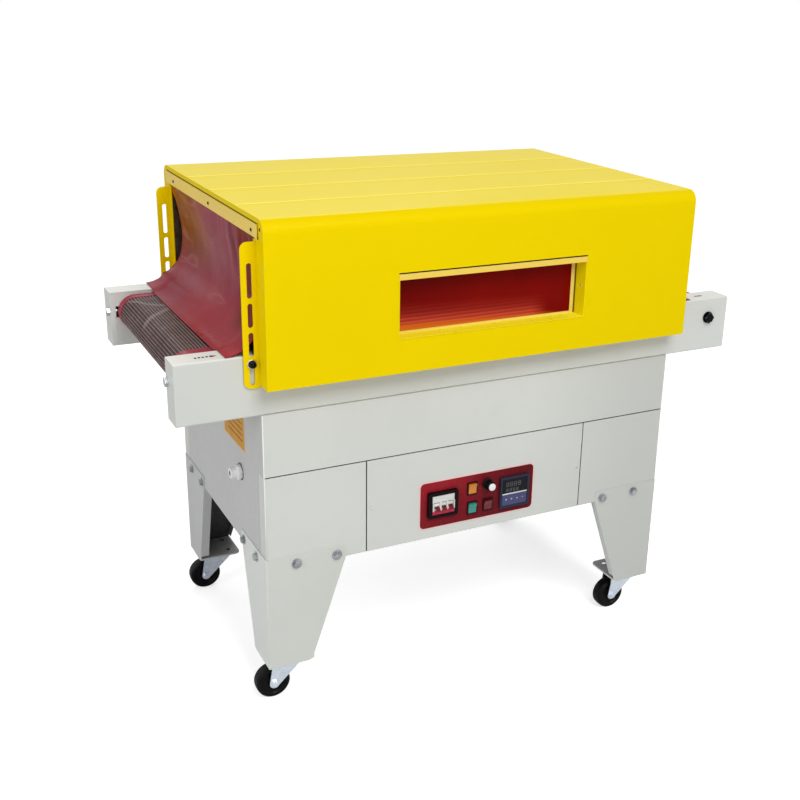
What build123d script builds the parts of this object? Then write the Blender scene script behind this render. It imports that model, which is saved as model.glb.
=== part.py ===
from build123d import *
from math import cos, radians, sin, sqrt, tan
import os

os.makedirs("parts", exist_ok=True)

# Heat shrink machine. X runs along the conveyor from the entry end to the exit end, -Y is the
# operator's side, Z is up. The origin is on the floor under the middle of the machine.

# Casters
wheel_diameter = 75.0
wheel_width = 29.0
wheel_bore = 12.0
wheel_hub_diameter = 24.0
wheel_disc_recess = 4.0
wheel_rim_diameter = 55.0
wheel_rim_recess = 1.0
wheel_shoulder = 4.0          # height of the rounded shoulder of the tread
wheel_crown = 0.8
wheel_draft = 3.0             # slope on the walls of the recessed disc
caster_height = 97.0          # floor to the underside of the leg's foot plate
caster_trail = 29.5
caster_plate_thickness = 3.0
caster_plate_size = 74.0
caster_plate_radius = 8.0
caster_shift_x = 2.5          # stem from the middle of the foot plate towards the leg's corner
caster_shift_y = 3.0
swivel_race_diameter = 52.0
swivel_race_height = 5.5
swivel_race_taper = 12.0
swivel_stem_diameter = 12.0
swivel_clearance = 0.5
fork_sheet = 2.5
fork_side_clearance = 2.0     # wheel face to fork cheek
fork_crown_half_length = 32.0
fork_heel = 6.0               # straight stretch of the cheek below the crown at its free end
fork_eye_angle = 30.0         # where the cheek's slanted edge meets the axle eye
axle_eye_radius = 11.0
axle_clearance = 0.05
axle_nut_across_flats = 13.0
axle_nut_height = 5.0

# Cabinet and legs
sheet = 2.0
seam_gap = 2.5                # open joint between two neighbouring panels
beam_overhang = 165.0         # beam end beyond the cabinet's end face
cabinet_overhang = 1.0        # cabinet face outside the beam face
leg_clear_height = 225.0      # foot plate underside to the cabinet's lower edge
cabinet_height = 341.0
header_height = 133.0
door_width = 530.0
corner_return = 35.0          # fold of a corner panel round onto the end face
leg_overlap = 27.0            # stretch of the leg that lies over the cabinet
leg_skirt = 3.0               # leg sheet below the foot plate's underside
leg_top_width = 173.0
leg_foot_width = 100.0
leg_side_top_width = 160.0
leg_side_foot_width = 97.0
leg_foot_upright = 14.0       # upright stretch of the inner edge at the foot
leg_foot_radius = 13.0
leg_flange = 20.0
leg_fold = 3.0
foot_plate_thickness = 4.0
leg_bolt_inset = 65.0         # leg corner to the first bolt on the operator's side
leg_bolt_pitch = 88.0
leg_side_bolt_inset = 61.0    # the same on the end faces
leg_side_bolt_pitch = 84.0
leg_bolt_rise = 9.0           # bolt row above the cabinet's lower edge
leg_bolt_diameter = 8.0
leg_bolt_across_flats = 13.0
leg_bolt_head = 5.5
leg_washer_diameter = 22.0
leg_washer_thickness = 1.8

# Conveyor
conveyor_length = 1300.0
belt_channel = 490.0          # clear width between the two beams
beam_width = 57.0
beam_height = 123.0
beam_sheet = 2.5
beam_fold = 4.0
beam_end_lip = 12.0
seat_gap = 0.2                # slack between sheets that are laid against each other
belt_width = 480.0
belt_thickness = 1.5
belt_front_band = 40.0        # reinforced band along the operator's edge
belt_rear_band = 25.0
belt_edge_extra = 0.4         # the edge band stands proud of the open mesh
roller_diameter = 72.5
roller_chamfer = 1.5
roller_inset = 54.0           # beam end to the roller's axis
roller_axis_height = 78.0     # cabinet top to the roller's axis
roller_end_gap = 5.0          # roller face to beam
shaft_diameter = 20.0
shaft_slot_length = 74.0      # from the beam's end lip inwards
shaft_slot_height = 26.0
shaft_washer_diameter = 27.0
shaft_washer_thickness = 3.0
shaft_nut_across_flats = 18.0
shaft_nut_height = 8.0
bearing_block_size = 40.0
bearing_block_depth = 32.0
tension_bolt_diameter = 10.0
tension_bolt_across_flats = 17.0
tension_bolt_head = 6.5
tension_bolt_inset = 11.5     # beam's inner face to the bolt's axis
carry_rod_diameter = 16.0
carry_rod_pitch = 150.0
carry_rod_count = 7
return_rod_pitch = 400.0

# Hood
hood_overhang = 2.5           # hood end beyond the cabinet's end face
hood_wall_depth = 42.5        # tunnel wall to the hood's outer face
hood_height = 322.0
hood_drop = 59.0              # hood's lower edge below the beam top
hood_bend = 25.0
hood_roof_depth = 40.0        # between the outer skin and the tunnel roof
hood_bead_offset = -17.0      # middle stiffening bead, measured from the hood's centre line
hood_bead_pitch = 168.0
hood_bead_width = 8.0
hood_bead_height = 1.0
hood_bead_slope = 45.0
window_length = 434.0
window_shift = -2.0           # middle of the window from the middle of the hood
window_height = 135.0
window_sill = 9.5             # beam top to the window's lower edge
window_gap = 3.0              # open joint between the skin and the top of the window frame
window_strip = 12.0           # front strip along the top of the window frame
window_bead_side = 12.0       # bead that holds the glass, at its two ends
window_bead_edge = 4.0        # and along its top and bottom
glass_thickness = 4.0
mouth_half_width = 292.0
mouth_radius = 8.0
mouth_foot = 4.0              # beam top to the foot of the mouth's uprights
slotted_plate_thickness = 3.0
slotted_plate_reach = 30.5    # how far the plate stands out of the hood's end
slotted_plate_height = 282.0
slotted_plate_drop = 5.0      # plate's lower edge below the hood's lower edge
slotted_plate_radius = 14.0
slot_width = 10.0
slot_length = 47.0
top_slot_length = 67.0
slot_pitch = 56.3
slot_count = 4
slot_low_margin = 7.0         # plate's lower edge to the lowest slot
slot_edge = 16.0              # plate's outer edge to the slots' centre line
hood_side_gap = 1.5           # beam face to slotted plate
hood_bolt_diameter = 8.0
hood_bolt_head_diameter = 13.0
hood_washer_diameter = 18.0
hood_washer_thickness = 1.5
hood_bolt_head = 6.0
hood_bolt_height = 108.0      # cabinet top to the hood bolt

# Curtains
curtain_width = 600.0
curtain_thickness = 1.2
curtain_clamp_length = 644.0
curtain_clamp_height = 25.5
curtain_clamp_thickness = 1.5
curtain_clamp_rise = 3.0      # tunnel roof to the clamp's lower edge
curtain_clearance = 0.5       # curtain lip above the beam top
curtain_straight = 24.0       # upright stretch below the tunnel roof
curtain_waist_in = 15.0       # how far the waist hangs in behind the clamp
curtain_waist_drop = 104.0    # drops are measured from the tunnel roof
curtain_knee_out = 6.0
curtain_knee_drop = 184.0
curtain_flare = 65.0          # how far the lip lies out beyond the clamp
curtain_notch = 15.0          # each side stands back this far between the mouth's uprights
curtain_notch_low = 160.0     # drop to the lower end of that stretch
curtain_notch_foot = 198.0    # drop where the curtain is back to its full width

# Controls
plate_length = 280.0
plate_shift = -2.0            # middle of the plate from the door's middle
plate_height = 106.0
plate_thickness = 1.5
plate_radius = 10.0
plate_rise = 25.0             # cabinet's lower edge to the plate's lower edge
breaker_x = -90.5
breaker_z = 54.5              # heights on the plate are measured from its lower edge
breaker_width = 54.0
breaker_height = 45.0
breaker_depth = 7.0
breaker_bezel_width = 71.0
breaker_bezel_height = 59.0
breaker_bezel_thickness = 9.0
breaker_bezel_radius = 3.0
toggle_width = 46.0
toggle_side_gap = 0.5
toggle_axis_depth = 2.0       # breaker face to the toggle's axis
toggle_hub_radius = 4.2
toggle_lever = 15.0
toggle_lever_thickness = 4.0
toggle_swing = 35.0           # lever's droop below level at rest
switch_width = 25.0
switch_height = 30.0
switch_radius = 1.5
switch_rim = 2.6
switch_wall = 1.0
switch_flange = 2.5
switch_body_depth = 14.0
switch_pocket_depth = 10.0    # behind the plate's face
door_hole_clearance = 0.5
rocker_clearance = 0.6
rocker_rise = 0.5             # pressed half above the switch flange
rocker_tilt = 16.0            # angle between the two halves of the rocker's face
rocker_pivot_depth = 2.5      # flange face to the pivot
orange_switch = (-17.0, 75.0)
green_switch = (-16.0, 28.5)
red_switch = (23.0, 29.5)
knob_x = 20.0
knob_z = 80.0
knob_diameter = 25.0
knob_height = 23.0
knob_skirt = 3.0
knob_skirt_slope = 1.0
knob_grip_diameter = 21.0
knob_cap_diameter = 17.0
knob_cap_dome = 1.2
knob_tip_diameter = 15.0
knob_stand_off = 1.0
knob_shaft_length = 8.0       # plate's face to the shaft's inner end
knob_shaft_diameter = 6.0
knob_shaft_clearance = 0.05
controller_x = 89.0
controller_z = 49.5
controller_size = 74.0
controller_rim = 5.0
controller_rise = 6.0
controller_recess = 1.5
controller_radius = 3.0

# Cable gland
gland_y = -150.0
gland_rise = 162.5            # cabinet's lower edge to the gland's axis
gland_flange_diameter = 30.0
gland_flange_thickness = 4.0
gland_body_diameter = 28.0
gland_mouth_diameter = 20.0
gland_body_length = 20.0
gland_bore = 12.0

# Heights and faces that follow from the sizes above
cabinet_bottom = caster_height + leg_clear_height
cabinet_top = cabinet_bottom + cabinet_height
header_bottom = cabinet_top - header_height
beam_inner = belt_channel / 2
beam_outer = beam_inner + beam_width
beam_top = cabinet_top + beam_height
beam_end = conveyor_length / 2
cabinet_front = beam_outer + cabinet_overhang
cabinet_end = beam_end - beam_overhang
leg_front = cabinet_front + sheet
leg_end = cabinet_end + sheet
leg_top = cabinet_bottom + leg_overlap
leg_bottom = caster_height - leg_skirt
roller_axis = cabinet_top + roller_axis_height
roller_x = beam_end - roller_inset
belt_inner_radius = roller_diameter / 2 + seat_gap
belt_outer_radius = belt_inner_radius + belt_thickness
hood_end = cabinet_end + hood_overhang
hood_bottom = beam_top - hood_drop
hood_top = hood_bottom + hood_height
tunnel_side = beam_outer + hood_side_gap + slotted_plate_thickness
hood_face = tunnel_side + hood_wall_depth
tunnel_roof = hood_top - hood_roof_depth
window_low = beam_top + window_sill
window_high = window_low + window_height
window_frame_low = window_low + seat_gap
window_frame_high = window_high - window_gap
door_face = cabinet_front
plate_face = door_face + plate_thickness
plate_bottom = cabinet_bottom + plate_rise
stem_x = leg_end - sheet - leg_foot_width / 2 + caster_shift_x
stem_y = leg_front - sheet - leg_side_foot_width / 2 + caster_shift_y
END_SIDES = {"left": -1, "right": 1}
FACE_SIDES = {"front": -1, "rear": 1}


def slab(x_span, y_span, z_span):
    """A flat rectangular sheet or block between two corners."""
    with BuildPart() as flat:
        with BuildSketch(Plane.XY.offset(z_span[0])):
            with Locations(((x_span[0] + x_span[1]) / 2, (y_span[0] + y_span[1]) / 2)):
                Rectangle(x_span[1] - x_span[0], y_span[1] - y_span[0])
        extrude(amount=z_span[1] - z_span[0])
    return flat


def facing(y):
    """An upright plane at this y that looks towards the operator, with x and z as its own axes."""
    return Plane.XZ.offset(-y)


# Conveyor beams: channels folded shut at both ends, open towards the belt
def conveyor_beam(side):
    middle_y = side * (beam_inner + beam_width / 2)
    middle_z = cabinet_top + beam_height / 2
    with BuildPart() as beam:
        with BuildSketch(Plane.YZ.offset(-beam_end)):
            with Locations((middle_y, middle_z)):
                Rectangle(beam_width, beam_height)
        extrude(amount=conveyor_length)
        outer_face = beam.faces().sort_by(Axis.Y)[0 if side < 0 else -1]
        fillet(outer_face.edges().filter_by(Axis.X), beam_fold)
        with BuildSketch(Plane.YZ.offset(-beam_end + beam_sheet)):
            with Locations((middle_y, middle_z)):
                Rectangle(beam_width - 2 * beam_sheet, beam_height - 2 * beam_sheet)
        extrude(amount=conveyor_length - 2 * beam_sheet, mode=Mode.SUBTRACT)
        with BuildSketch(facing(side * (beam_inner + beam_sheet / 2))):
            with Locations((0, middle_z)):
                Rectangle(conveyor_length - 2 * beam_end_lip, beam_height - 2 * beam_sheet)
        extrude(amount=beam_sheet / 2, both=True, mode=Mode.SUBTRACT)
        with BuildSketch(Plane.YZ.offset(-beam_end)):
            with Locations((side * (beam_inner + tension_bolt_inset), roller_axis)):
                Circle(tension_bolt_diameter / 2 + seat_gap)
        extrude(amount=conveyor_length, mode=Mode.SUBTRACT)
        with BuildSketch(facing(side * (beam_outer - beam_sheet / 2))):
            with Locations((-hood_end - slotted_plate_reach + slot_edge, cabinet_top + hood_bolt_height)):
                Circle(hood_bolt_diameter / 2 + seat_gap)
        extrude(amount=beam_sheet / 2, both=True, mode=Mode.SUBTRACT)
    return beam


front_beam = conveyor_beam(-1)
front_beam.part.label = "front_beam"
export_step(front_beam.part, "parts/front_beam.step")

back_beam = conveyor_beam(1)
back_beam.part.label = "back_beam"
export_step(back_beam.part, "parts/back_beam.step")

# Inner cover plates of the beams, slotted from their ends for the roller shafts
with BuildPart() as beam_covers:
    with BuildSketch(facing(beam_inner + beam_sheet)):
        with Locations((0, cabinet_top + beam_height / 2)):
            Rectangle(conveyor_length - 2 * beam_end_lip - 2 * seat_gap,
                      beam_height - 2 * beam_sheet - 2 * seat_gap)
        slot_middle = beam_end - beam_end_lip - shaft_slot_length / 2
        with Locations((-slot_middle, roller_axis), (slot_middle, roller_axis)):
            Rectangle(shaft_slot_length, shaft_slot_height, mode=Mode.SUBTRACT)
    extrude(amount=beam_sheet)
    mirror(about=Plane.XZ)
beam_covers.part.label = "beam_covers"
export_step(beam_covers.part, "parts/beam_covers.step")


# Rollers, with a shaft that reaches through the cover plates into the bearing blocks
def conveyor_roller(x):
    with BuildPart() as roller:
        with BuildSketch(facing(beam_inner - roller_end_gap)):
            with Locations((x, roller_axis)):
                Circle(roller_diameter / 2)
        extrude(amount=belt_channel - 2 * roller_end_gap)
        chamfer(roller.edges().filter_by(GeomType.CIRCLE), roller_chamfer)
        with BuildSketch(facing(beam_inner + bearing_block_depth)):
            with Locations((x, roller_axis)):
                Circle(shaft_diameter / 2)
        extrude(amount=belt_channel + 2 * bearing_block_depth)
    return roller


tail_roller = conveyor_roller(-roller_x)
tail_roller.part.label = "tail_roller"
export_step(tail_roller.part, "parts/tail_roller.step")

drive_roller = conveyor_roller(roller_x)
drive_roller.part.label = "drive_roller"
export_step(drive_roller.part, "parts/drive_roller.step")

# Bearing blocks that slide inside the beams
block_inner = beam_inner + beam_sheet + seat_gap
with BuildPart() as bearing_blocks:
    with BuildSketch(facing(block_inner + bearing_block_depth)):
        with Locations((-roller_x, roller_axis), (roller_x, roller_axis)):
            Rectangle(bearing_block_size, bearing_block_size)
            Circle(shaft_diameter / 2 + seat_gap / 2, mode=Mode.SUBTRACT)
    extrude(amount=bearing_block_depth)
    mirror(about=Plane.XZ)
bearing_blocks.part.label = "bearing_blocks"
export_step(bearing_blocks.part, "parts/bearing_blocks.step")

# Hexagon bolts in the beam ends that tension the belt
with BuildPart() as tension_bolts:
    with BuildSketch(Plane.YZ.offset(-beam_end - tension_bolt_head)):
        with Locations((beam_inner + tension_bolt_inset, roller_axis)):
            RegularPolygon(tension_bolt_across_flats / 2, 6, major_radius=False)
    extrude(amount=tension_bolt_head)
    with BuildSketch(Plane.YZ.offset(-beam_end)):
        with Locations((beam_inner + tension_bolt_inset, roller_axis)):
            Circle(tension_bolt_diameter / 2)
    extrude(amount=roller_inset - bearing_block_size / 2)
    mirror(about=Plane.XZ)
    mirror(about=Plane.YZ)
tension_bolts.part.label = "tension_bolts"
export_step(tension_bolts.part, "parts/tension_bolts.step")

# Black end fitting of the drive shaft on the operator's side
with BuildPart() as drive_shaft_end:
    with BuildSketch(facing(-beam_outer)):
        with Locations((roller_x, roller_axis)):
            Circle(shaft_washer_diameter / 2)
    extrude(amount=shaft_washer_thickness)
    with BuildSketch(facing(-beam_outer - shaft_washer_thickness)):
        with Locations((roller_x, roller_axis)):
            RegularPolygon(shaft_nut_across_flats / 2, 6, major_radius=False)
    extrude(amount=shaft_nut_height)
drive_shaft_end.part.label = "drive_shaft_end"
export_step(drive_shaft_end.part, "parts/drive_shaft_end.step")


# Belt: one closed loop round both rollers, with a reinforced band along each edge
def belt_loop(y_low, y_high, outer_radius):
    with BuildPart() as loop:
        with BuildSketch(facing(y_high)):
            with Locations((0, roller_axis)):
                SlotCenterToCenter(2 * roller_x, 2 * outer_radius)
                SlotCenterToCenter(2 * roller_x, 2 * belt_inner_radius, mode=Mode.SUBTRACT)
        extrude(amount=y_high - y_low)
    return loop


mesh_front = -belt_width / 2 + belt_front_band
mesh_rear = belt_width / 2 - belt_rear_band
conveyor_belt = belt_loop(mesh_front, mesh_rear, belt_outer_radius)
conveyor_belt.part.label = "conveyor_belt"
export_step(conveyor_belt.part, "parts/conveyor_belt.step")

with BuildPart() as belt_edges:
    add(belt_loop(-belt_width / 2, mesh_front, belt_outer_radius + belt_edge_extra).part)
    add(belt_loop(mesh_rear, belt_width / 2, belt_outer_radius + belt_edge_extra).part)
belt_edges.part.label = "belt_edges"
export_step(belt_edges.part, "parts/belt_edges.step")

# Cross rods under the upper run and under the lower run of the belt
upper_rod_z = roller_axis + belt_inner_radius - seat_gap - carry_rod_diameter / 2
lower_rod_z = roller_axis - belt_outer_radius - belt_edge_extra - seat_gap - carry_rod_diameter / 2
with BuildPart() as carry_rods:
    with BuildSketch(facing(beam_inner)):
        with Locations((0, upper_rod_z)):
            with GridLocations(carry_rod_pitch, 1, carry_rod_count, 1):
                Circle(carry_rod_diameter / 2)
        with Locations((0, lower_rod_z)):
            with GridLocations(return_rod_pitch, 1, 2, 1):
                Circle(carry_rod_diameter / 2)
    extrude(amount=belt_channel)
carry_rods.part.label = "carry_rods"
export_step(carry_rods.part, "parts/carry_rods.step")

# Cabinet: header strips above, corner panels and doors below, end panels between them
header_low = header_bottom + seam_gap / 2
panel_high = header_bottom - seam_gap / 2
door_edge = door_width / 2
panel_edge = door_edge + seam_gap


def cabinet_header(side):
    faces = sorted((side * cabinet_front, side * (cabinet_front - sheet)))
    return slab((-cabinet_end, cabinet_end), faces, (header_low, cabinet_top))


front_header = cabinet_header(-1)
front_header.part.label = "front_header"
export_step(front_header.part, "parts/front_header.step")

rear_header = cabinet_header(1)
rear_header.part.label = "rear_header"
export_step(rear_header.part, "parts/rear_header.step")


def corner_panel(end, side):
    """A panel beside the door, folded round the corner onto the end face."""
    with BuildPart() as panel:
        with BuildSketch(Plane.XY.offset(cabinet_bottom)):
            with BuildLine():
                FilletPolyline(
                    (end * panel_edge, side * cabinet_front),
                    (end * cabinet_end, side * cabinet_front),
                    (end * cabinet_end, side * (cabinet_front - corner_return)),
                    radius=leg_fold,
                )
                offset(amount=sheet, side=Side.RIGHT if end == side else Side.LEFT)
            make_face()
        extrude(amount=panel_high - cabinet_bottom)
    return panel


front_left_panel = corner_panel(-1, -1)
front_left_panel.part.label = "front_left_panel"
export_step(front_left_panel.part, "parts/front_left_panel.step")

front_right_panel = corner_panel(1, -1)
front_right_panel.part.label = "front_right_panel"
export_step(front_right_panel.part, "parts/front_right_panel.step")

rear_middle = slab((-door_edge, door_edge), (cabinet_front - sheet, cabinet_front),
                   (cabinet_bottom, panel_high))
with BuildPart() as rear_panels:
    add(corner_panel(-1, 1).part)
    add(corner_panel(1, 1).part)
    add(rear_middle.part)
rear_panels.part.label = "rear_panels"
export_step(rear_panels.part, "parts/rear_panels.step")

# Control door, cut out behind each switch body and the knob shaft
switch_places = {"orange": orange_switch, "green": green_switch, "red": red_switch}
pocket_width = switch_width - 2 * switch_rim
pocket_height = switch_height - 2 * switch_rim
switch_body_width = pocket_width + 2 * switch_wall
switch_body_height = pocket_height + 2 * switch_wall
with BuildPart() as control_door:
    with BuildSketch(facing(-(door_face - sheet))):
        with Locations((0, (cabinet_bottom + panel_high) / 2)):
            Rectangle(door_width, panel_high - cabinet_bottom)
        for switch_x, switch_z in switch_places.values():
            with Locations((switch_x, plate_bottom + switch_z)):
                Rectangle(switch_body_width + 2 * door_hole_clearance,
                          switch_body_height + 2 * door_hole_clearance, mode=Mode.SUBTRACT)
        with Locations((knob_x, plate_bottom + knob_z)):
            Circle(knob_shaft_diameter / 2 + door_hole_clearance, mode=Mode.SUBTRACT)
    extrude(amount=sheet)
control_door.part.label = "control_door"
export_step(control_door.part, "parts/control_door.step")


def end_panel(end):
    """End face: narrow between the corner folds, full width above them."""
    low_half = cabinet_front - corner_return - seam_gap / 2
    high_half = cabinet_front - sheet
    with BuildPart() as panel:
        with BuildSketch(Plane.YZ.offset(end * (cabinet_end - sheet / 2))):
            with Locations((0, (cabinet_bottom + panel_high) / 2)):
                Rectangle(2 * low_half, panel_high - cabinet_bottom)
            with Locations((0, (panel_high + cabinet_top) / 2)):
                Rectangle(2 * high_half, cabinet_top - panel_high)
            if end < 0:
                with Locations((gland_y, cabinet_bottom + gland_rise)):
                    Circle(gland_bore / 2, mode=Mode.SUBTRACT)
        extrude(amount=sheet / 2, both=True)
    return panel


left_end_panel = end_panel(-1)
left_end_panel.part.label = "left_end_panel"
export_step(left_end_panel.part, "parts/left_end_panel.step")

right_end_panel = end_panel(1)
right_end_panel.part.label = "right_end_panel"
export_step(right_end_panel.part, "parts/right_end_panel.step")

inside_x = cabinet_end - sheet
inside_y = cabinet_front - sheet
cabinet_deck = slab((-inside_x, inside_x), (-inside_y, inside_y), (cabinet_top - sheet, cabinet_top))
cabinet_deck.part.label = "cabinet_deck"
export_step(cabinet_deck.part, "parts/cabinet_deck.step")

with BuildPart() as cabinet_floor:
    with BuildSketch(Plane.XY.offset(cabinet_bottom)):
        RectangleRounded(2 * inside_x - 2 * seat_gap, 2 * inside_y - 2 * seat_gap, leg_fold)
    extrude(amount=sheet)
cabinet_floor.part.label = "cabinet_floor"
export_step(cabinet_floor.part, "parts/cabinet_floor.step")


# Legs: tapered angle sheets bolted over the cabinet corners, each with a foot plate
def leg_side_outline(outer, top_width, foot_width):
    """Half-open outline of one face of a leg, as points from its outer edge inwards."""
    return [
        (outer, leg_bottom),
        (outer, leg_top),
        (outer - top_width, leg_top),
        (outer - top_width, cabinet_bottom),
        (outer - foot_width, leg_bottom + leg_foot_upright),
        (outer - foot_width, leg_bottom),
    ]


def leg_flange_outline(outer, top_width, foot_width):
    """The thin slanted strip from which the leg's stiffening flange rises."""
    high = (outer - top_width, cabinet_bottom - seat_gap)
    low = (outer - foot_width, leg_bottom + leg_foot_upright)
    return [high, (high[0] + sheet, high[1]), (low[0] + sheet, low[1]), low]


def leg(end, side):
    face_outline = leg_side_outline(leg_end, leg_top_width, leg_foot_width)
    flank_outline = leg_side_outline(leg_front, leg_side_top_width, leg_side_foot_width)
    face_flange = leg_flange_outline(leg_end, leg_top_width, leg_foot_width)
    flank_flange = leg_flange_outline(leg_front, leg_side_top_width, leg_side_foot_width)
    face_row = (leg_bolt_inset, leg_bolt_inset + leg_bolt_pitch)
    flank_row = (leg_side_bolt_inset, leg_side_bolt_inset + leg_side_bolt_pitch)
    with BuildPart() as quarter:
        with BuildSketch(facing(leg_front)) as face:
            with BuildLine():
                Polyline(*face_outline, close=True)
            make_face()
            fillet(face.vertices().group_by(Axis.Y)[0].sort_by(Axis.X)[0], leg_foot_radius)
            with Locations(*[(leg_end - run, cabinet_bottom + leg_bolt_rise) for run in face_row]):
                Circle(leg_bolt_diameter / 2, mode=Mode.SUBTRACT)
        extrude(amount=sheet)
        with BuildSketch(Plane.YZ.offset(leg_end - sheet)) as flank:
            with BuildLine():
                Polyline(*flank_outline, close=True)
            make_face()
            fillet(flank.vertices().group_by(Axis.Y)[0].sort_by(Axis.X)[0], leg_foot_radius)
            with Locations(*[(leg_front - run, cabinet_bottom + leg_bolt_rise) for run in flank_row]):
                Circle(leg_bolt_diameter / 2, mode=Mode.SUBTRACT)
        extrude(amount=sheet)
        with BuildSketch(facing(leg_front)):
            with BuildLine():
                Polyline(*face_flange, close=True)
            make_face()
        extrude(amount=leg_flange)
        with BuildSketch(Plane.YZ.offset(leg_end - leg_flange)):
            with BuildLine():
                Polyline(*flank_flange, close=True)
            make_face()
        extrude(amount=leg_flange)
        with BuildSketch(Plane.XY.offset(caster_height)) as foot:
            with Locations((leg_end - leg_foot_width / 2, leg_front - leg_side_foot_width / 2)):
                Rectangle(leg_foot_width, leg_side_foot_width)
            fillet(foot.vertices().group_by(Axis.X)[0].sort_by(Axis.Y)[0], leg_foot_radius)
        extrude(amount=foot_plate_thickness)
        corner_edge = quarter.edges().filter_by(Axis.Z).filter_by(
            lambda edge: abs(edge.center().X - leg_end) < 0.01 and abs(edge.center().Y - leg_front) < 0.01
        )
        fillet(corner_edge, leg_fold)
        if end < 0:
            mirror(about=Plane.YZ, mode=Mode.REPLACE)
        if side < 0:
            mirror(about=Plane.XZ, mode=Mode.REPLACE)
    return quarter


for face_name, side in FACE_SIDES.items():
    for end_name, end in END_SIDES.items():
        corner_leg = leg(end, side)
        corner_leg.part.label = f"leg_{face_name}_{end_name}"
        export_step(corner_leg.part, f"parts/leg_{face_name}_{end_name}.step")

# Hexagon bolts with washers that fix the legs, two on each face of each leg
with BuildPart() as leg_bolts:
    bolt_height = cabinet_bottom + leg_bolt_rise
    face_runs = (leg_bolt_inset, leg_bolt_inset + leg_bolt_pitch)
    flank_runs = (leg_side_bolt_inset, leg_side_bolt_inset + leg_side_bolt_pitch)
    face_places = [(leg_end - run, bolt_height) for run in face_runs]
    flank_places = [(leg_front - run, bolt_height) for run in flank_runs]
    for plane, places in (
        (facing(leg_front - sheet), face_places),
        (Plane.YZ.offset(leg_end - sheet), flank_places),
    ):
        outward = -1 if plane.z_dir.Y < -0.5 else 1
        with BuildSketch(plane):
            with Locations(*places):
                Circle(leg_bolt_diameter / 2 - seat_gap / 2)
        extrude(amount=outward * sheet)
        with BuildSketch(plane.offset(outward * sheet)):
            with Locations(*places):
                Circle(leg_washer_diameter / 2)
        extrude(amount=outward * leg_washer_thickness)
        with BuildSketch(plane.offset(outward * (sheet + leg_washer_thickness))):
            with Locations(*places):
                RegularPolygon(leg_bolt_across_flats / 2, 6, major_radius=False)
        extrude(amount=outward * leg_bolt_head)
    mirror(about=Plane.YZ)
    mirror(about=Plane.XZ)
leg_bolts.part.label = "leg_bolts"
export_step(leg_bolts.part, "parts/leg_bolts.step")

# Casters: fixed top plate with its ball race, swivelling fork, wheel on the fork's axle bolt
fork_inner = wheel_width / 2 + fork_side_clearance
fork_outer = fork_inner + fork_sheet
plate_low = caster_height - caster_plate_thickness
race_low = plate_low - swivel_race_height
crown_low = race_low - swivel_clearance - fork_sheet
axle_z = wheel_diameter / 2
axle_radius = wheel_bore / 2 - axle_clearance

with BuildPart() as caster_top_plates:
    for end in (-1, 1):
        for side in (-1, 1):
            with BuildSketch(Plane.XY.offset(plate_low)):
                with Locations((end * stem_x, side * stem_y)):
                    RectangleRounded(caster_plate_size, caster_plate_size, caster_plate_radius)
            extrude(amount=caster_plate_thickness)
            with BuildSketch(Plane.XY.offset(race_low)):
                with Locations((end * stem_x, side * stem_y)):
                    Circle(swivel_race_diameter / 2)
            extrude(amount=swivel_race_height, taper=-swivel_race_taper)
            with BuildSketch(Plane.XY.offset(crown_low)):
                with Locations((end * stem_x, side * stem_y)):
                    Circle(swivel_stem_diameter / 2)
            extrude(amount=race_low - crown_low)
caster_top_plates.part.label = "caster_top_plates"
export_step(caster_top_plates.part, "parts/caster_top_plates.step")


def caster_fork(x, y):
    """Folded fork with tapered cheeks; its axle bolt and nuts are fused to it."""
    axle_x = x - caster_trail
    crown_top = crown_low + fork_sheet
    eye_angle = radians(fork_eye_angle)
    with BuildPart() as fork:
        with BuildSketch(facing(y + fork_outer)):
            with BuildLine():
                Polyline(
                    (x - fork_crown_half_length, crown_top),
                    (x + fork_crown_half_length, crown_top),
                    (x + fork_crown_half_length, crown_low - fork_heel),
                    (axle_x + axle_eye_radius * cos(eye_angle), axle_z - axle_eye_radius * sin(eye_angle)),
                    (axle_x - axle_eye_radius, axle_z),
                    close=True,
                )
            make_face()
            with Locations((axle_x, axle_z)):
                Circle(axle_eye_radius)
        extrude(amount=2 * fork_outer)
        with BuildSketch(facing(y + fork_inner)):
            with Locations((x, crown_low / 2)):
                Rectangle(2 * (caster_trail + fork_crown_half_length), crown_low)
        extrude(amount=2 * fork_inner, mode=Mode.SUBTRACT)
        with BuildSketch(Plane.XY.offset(crown_low)):
            with Locations((x, y)):
                Circle(swivel_stem_diameter / 2 + axle_clearance)
        extrude(amount=fork_sheet, mode=Mode.SUBTRACT)
        with BuildSketch(facing(y + fork_outer)):
            with Locations((axle_x, axle_z)):
                Circle(axle_radius)
        extrude(amount=2 * fork_outer)
        with BuildSketch(facing(y + fork_outer + axle_nut_height)):
            with Locations((axle_x, axle_z)):
                RegularPolygon(axle_nut_across_flats / 2, 6, major_radius=False)
        extrude(amount=axle_nut_height)
        with BuildSketch(facing(y - fork_outer)):
            with Locations((axle_x, axle_z)):
                RegularPolygon(axle_nut_across_flats / 2, 6, major_radius=False)
        extrude(amount=axle_nut_height)
    return fork


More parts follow.
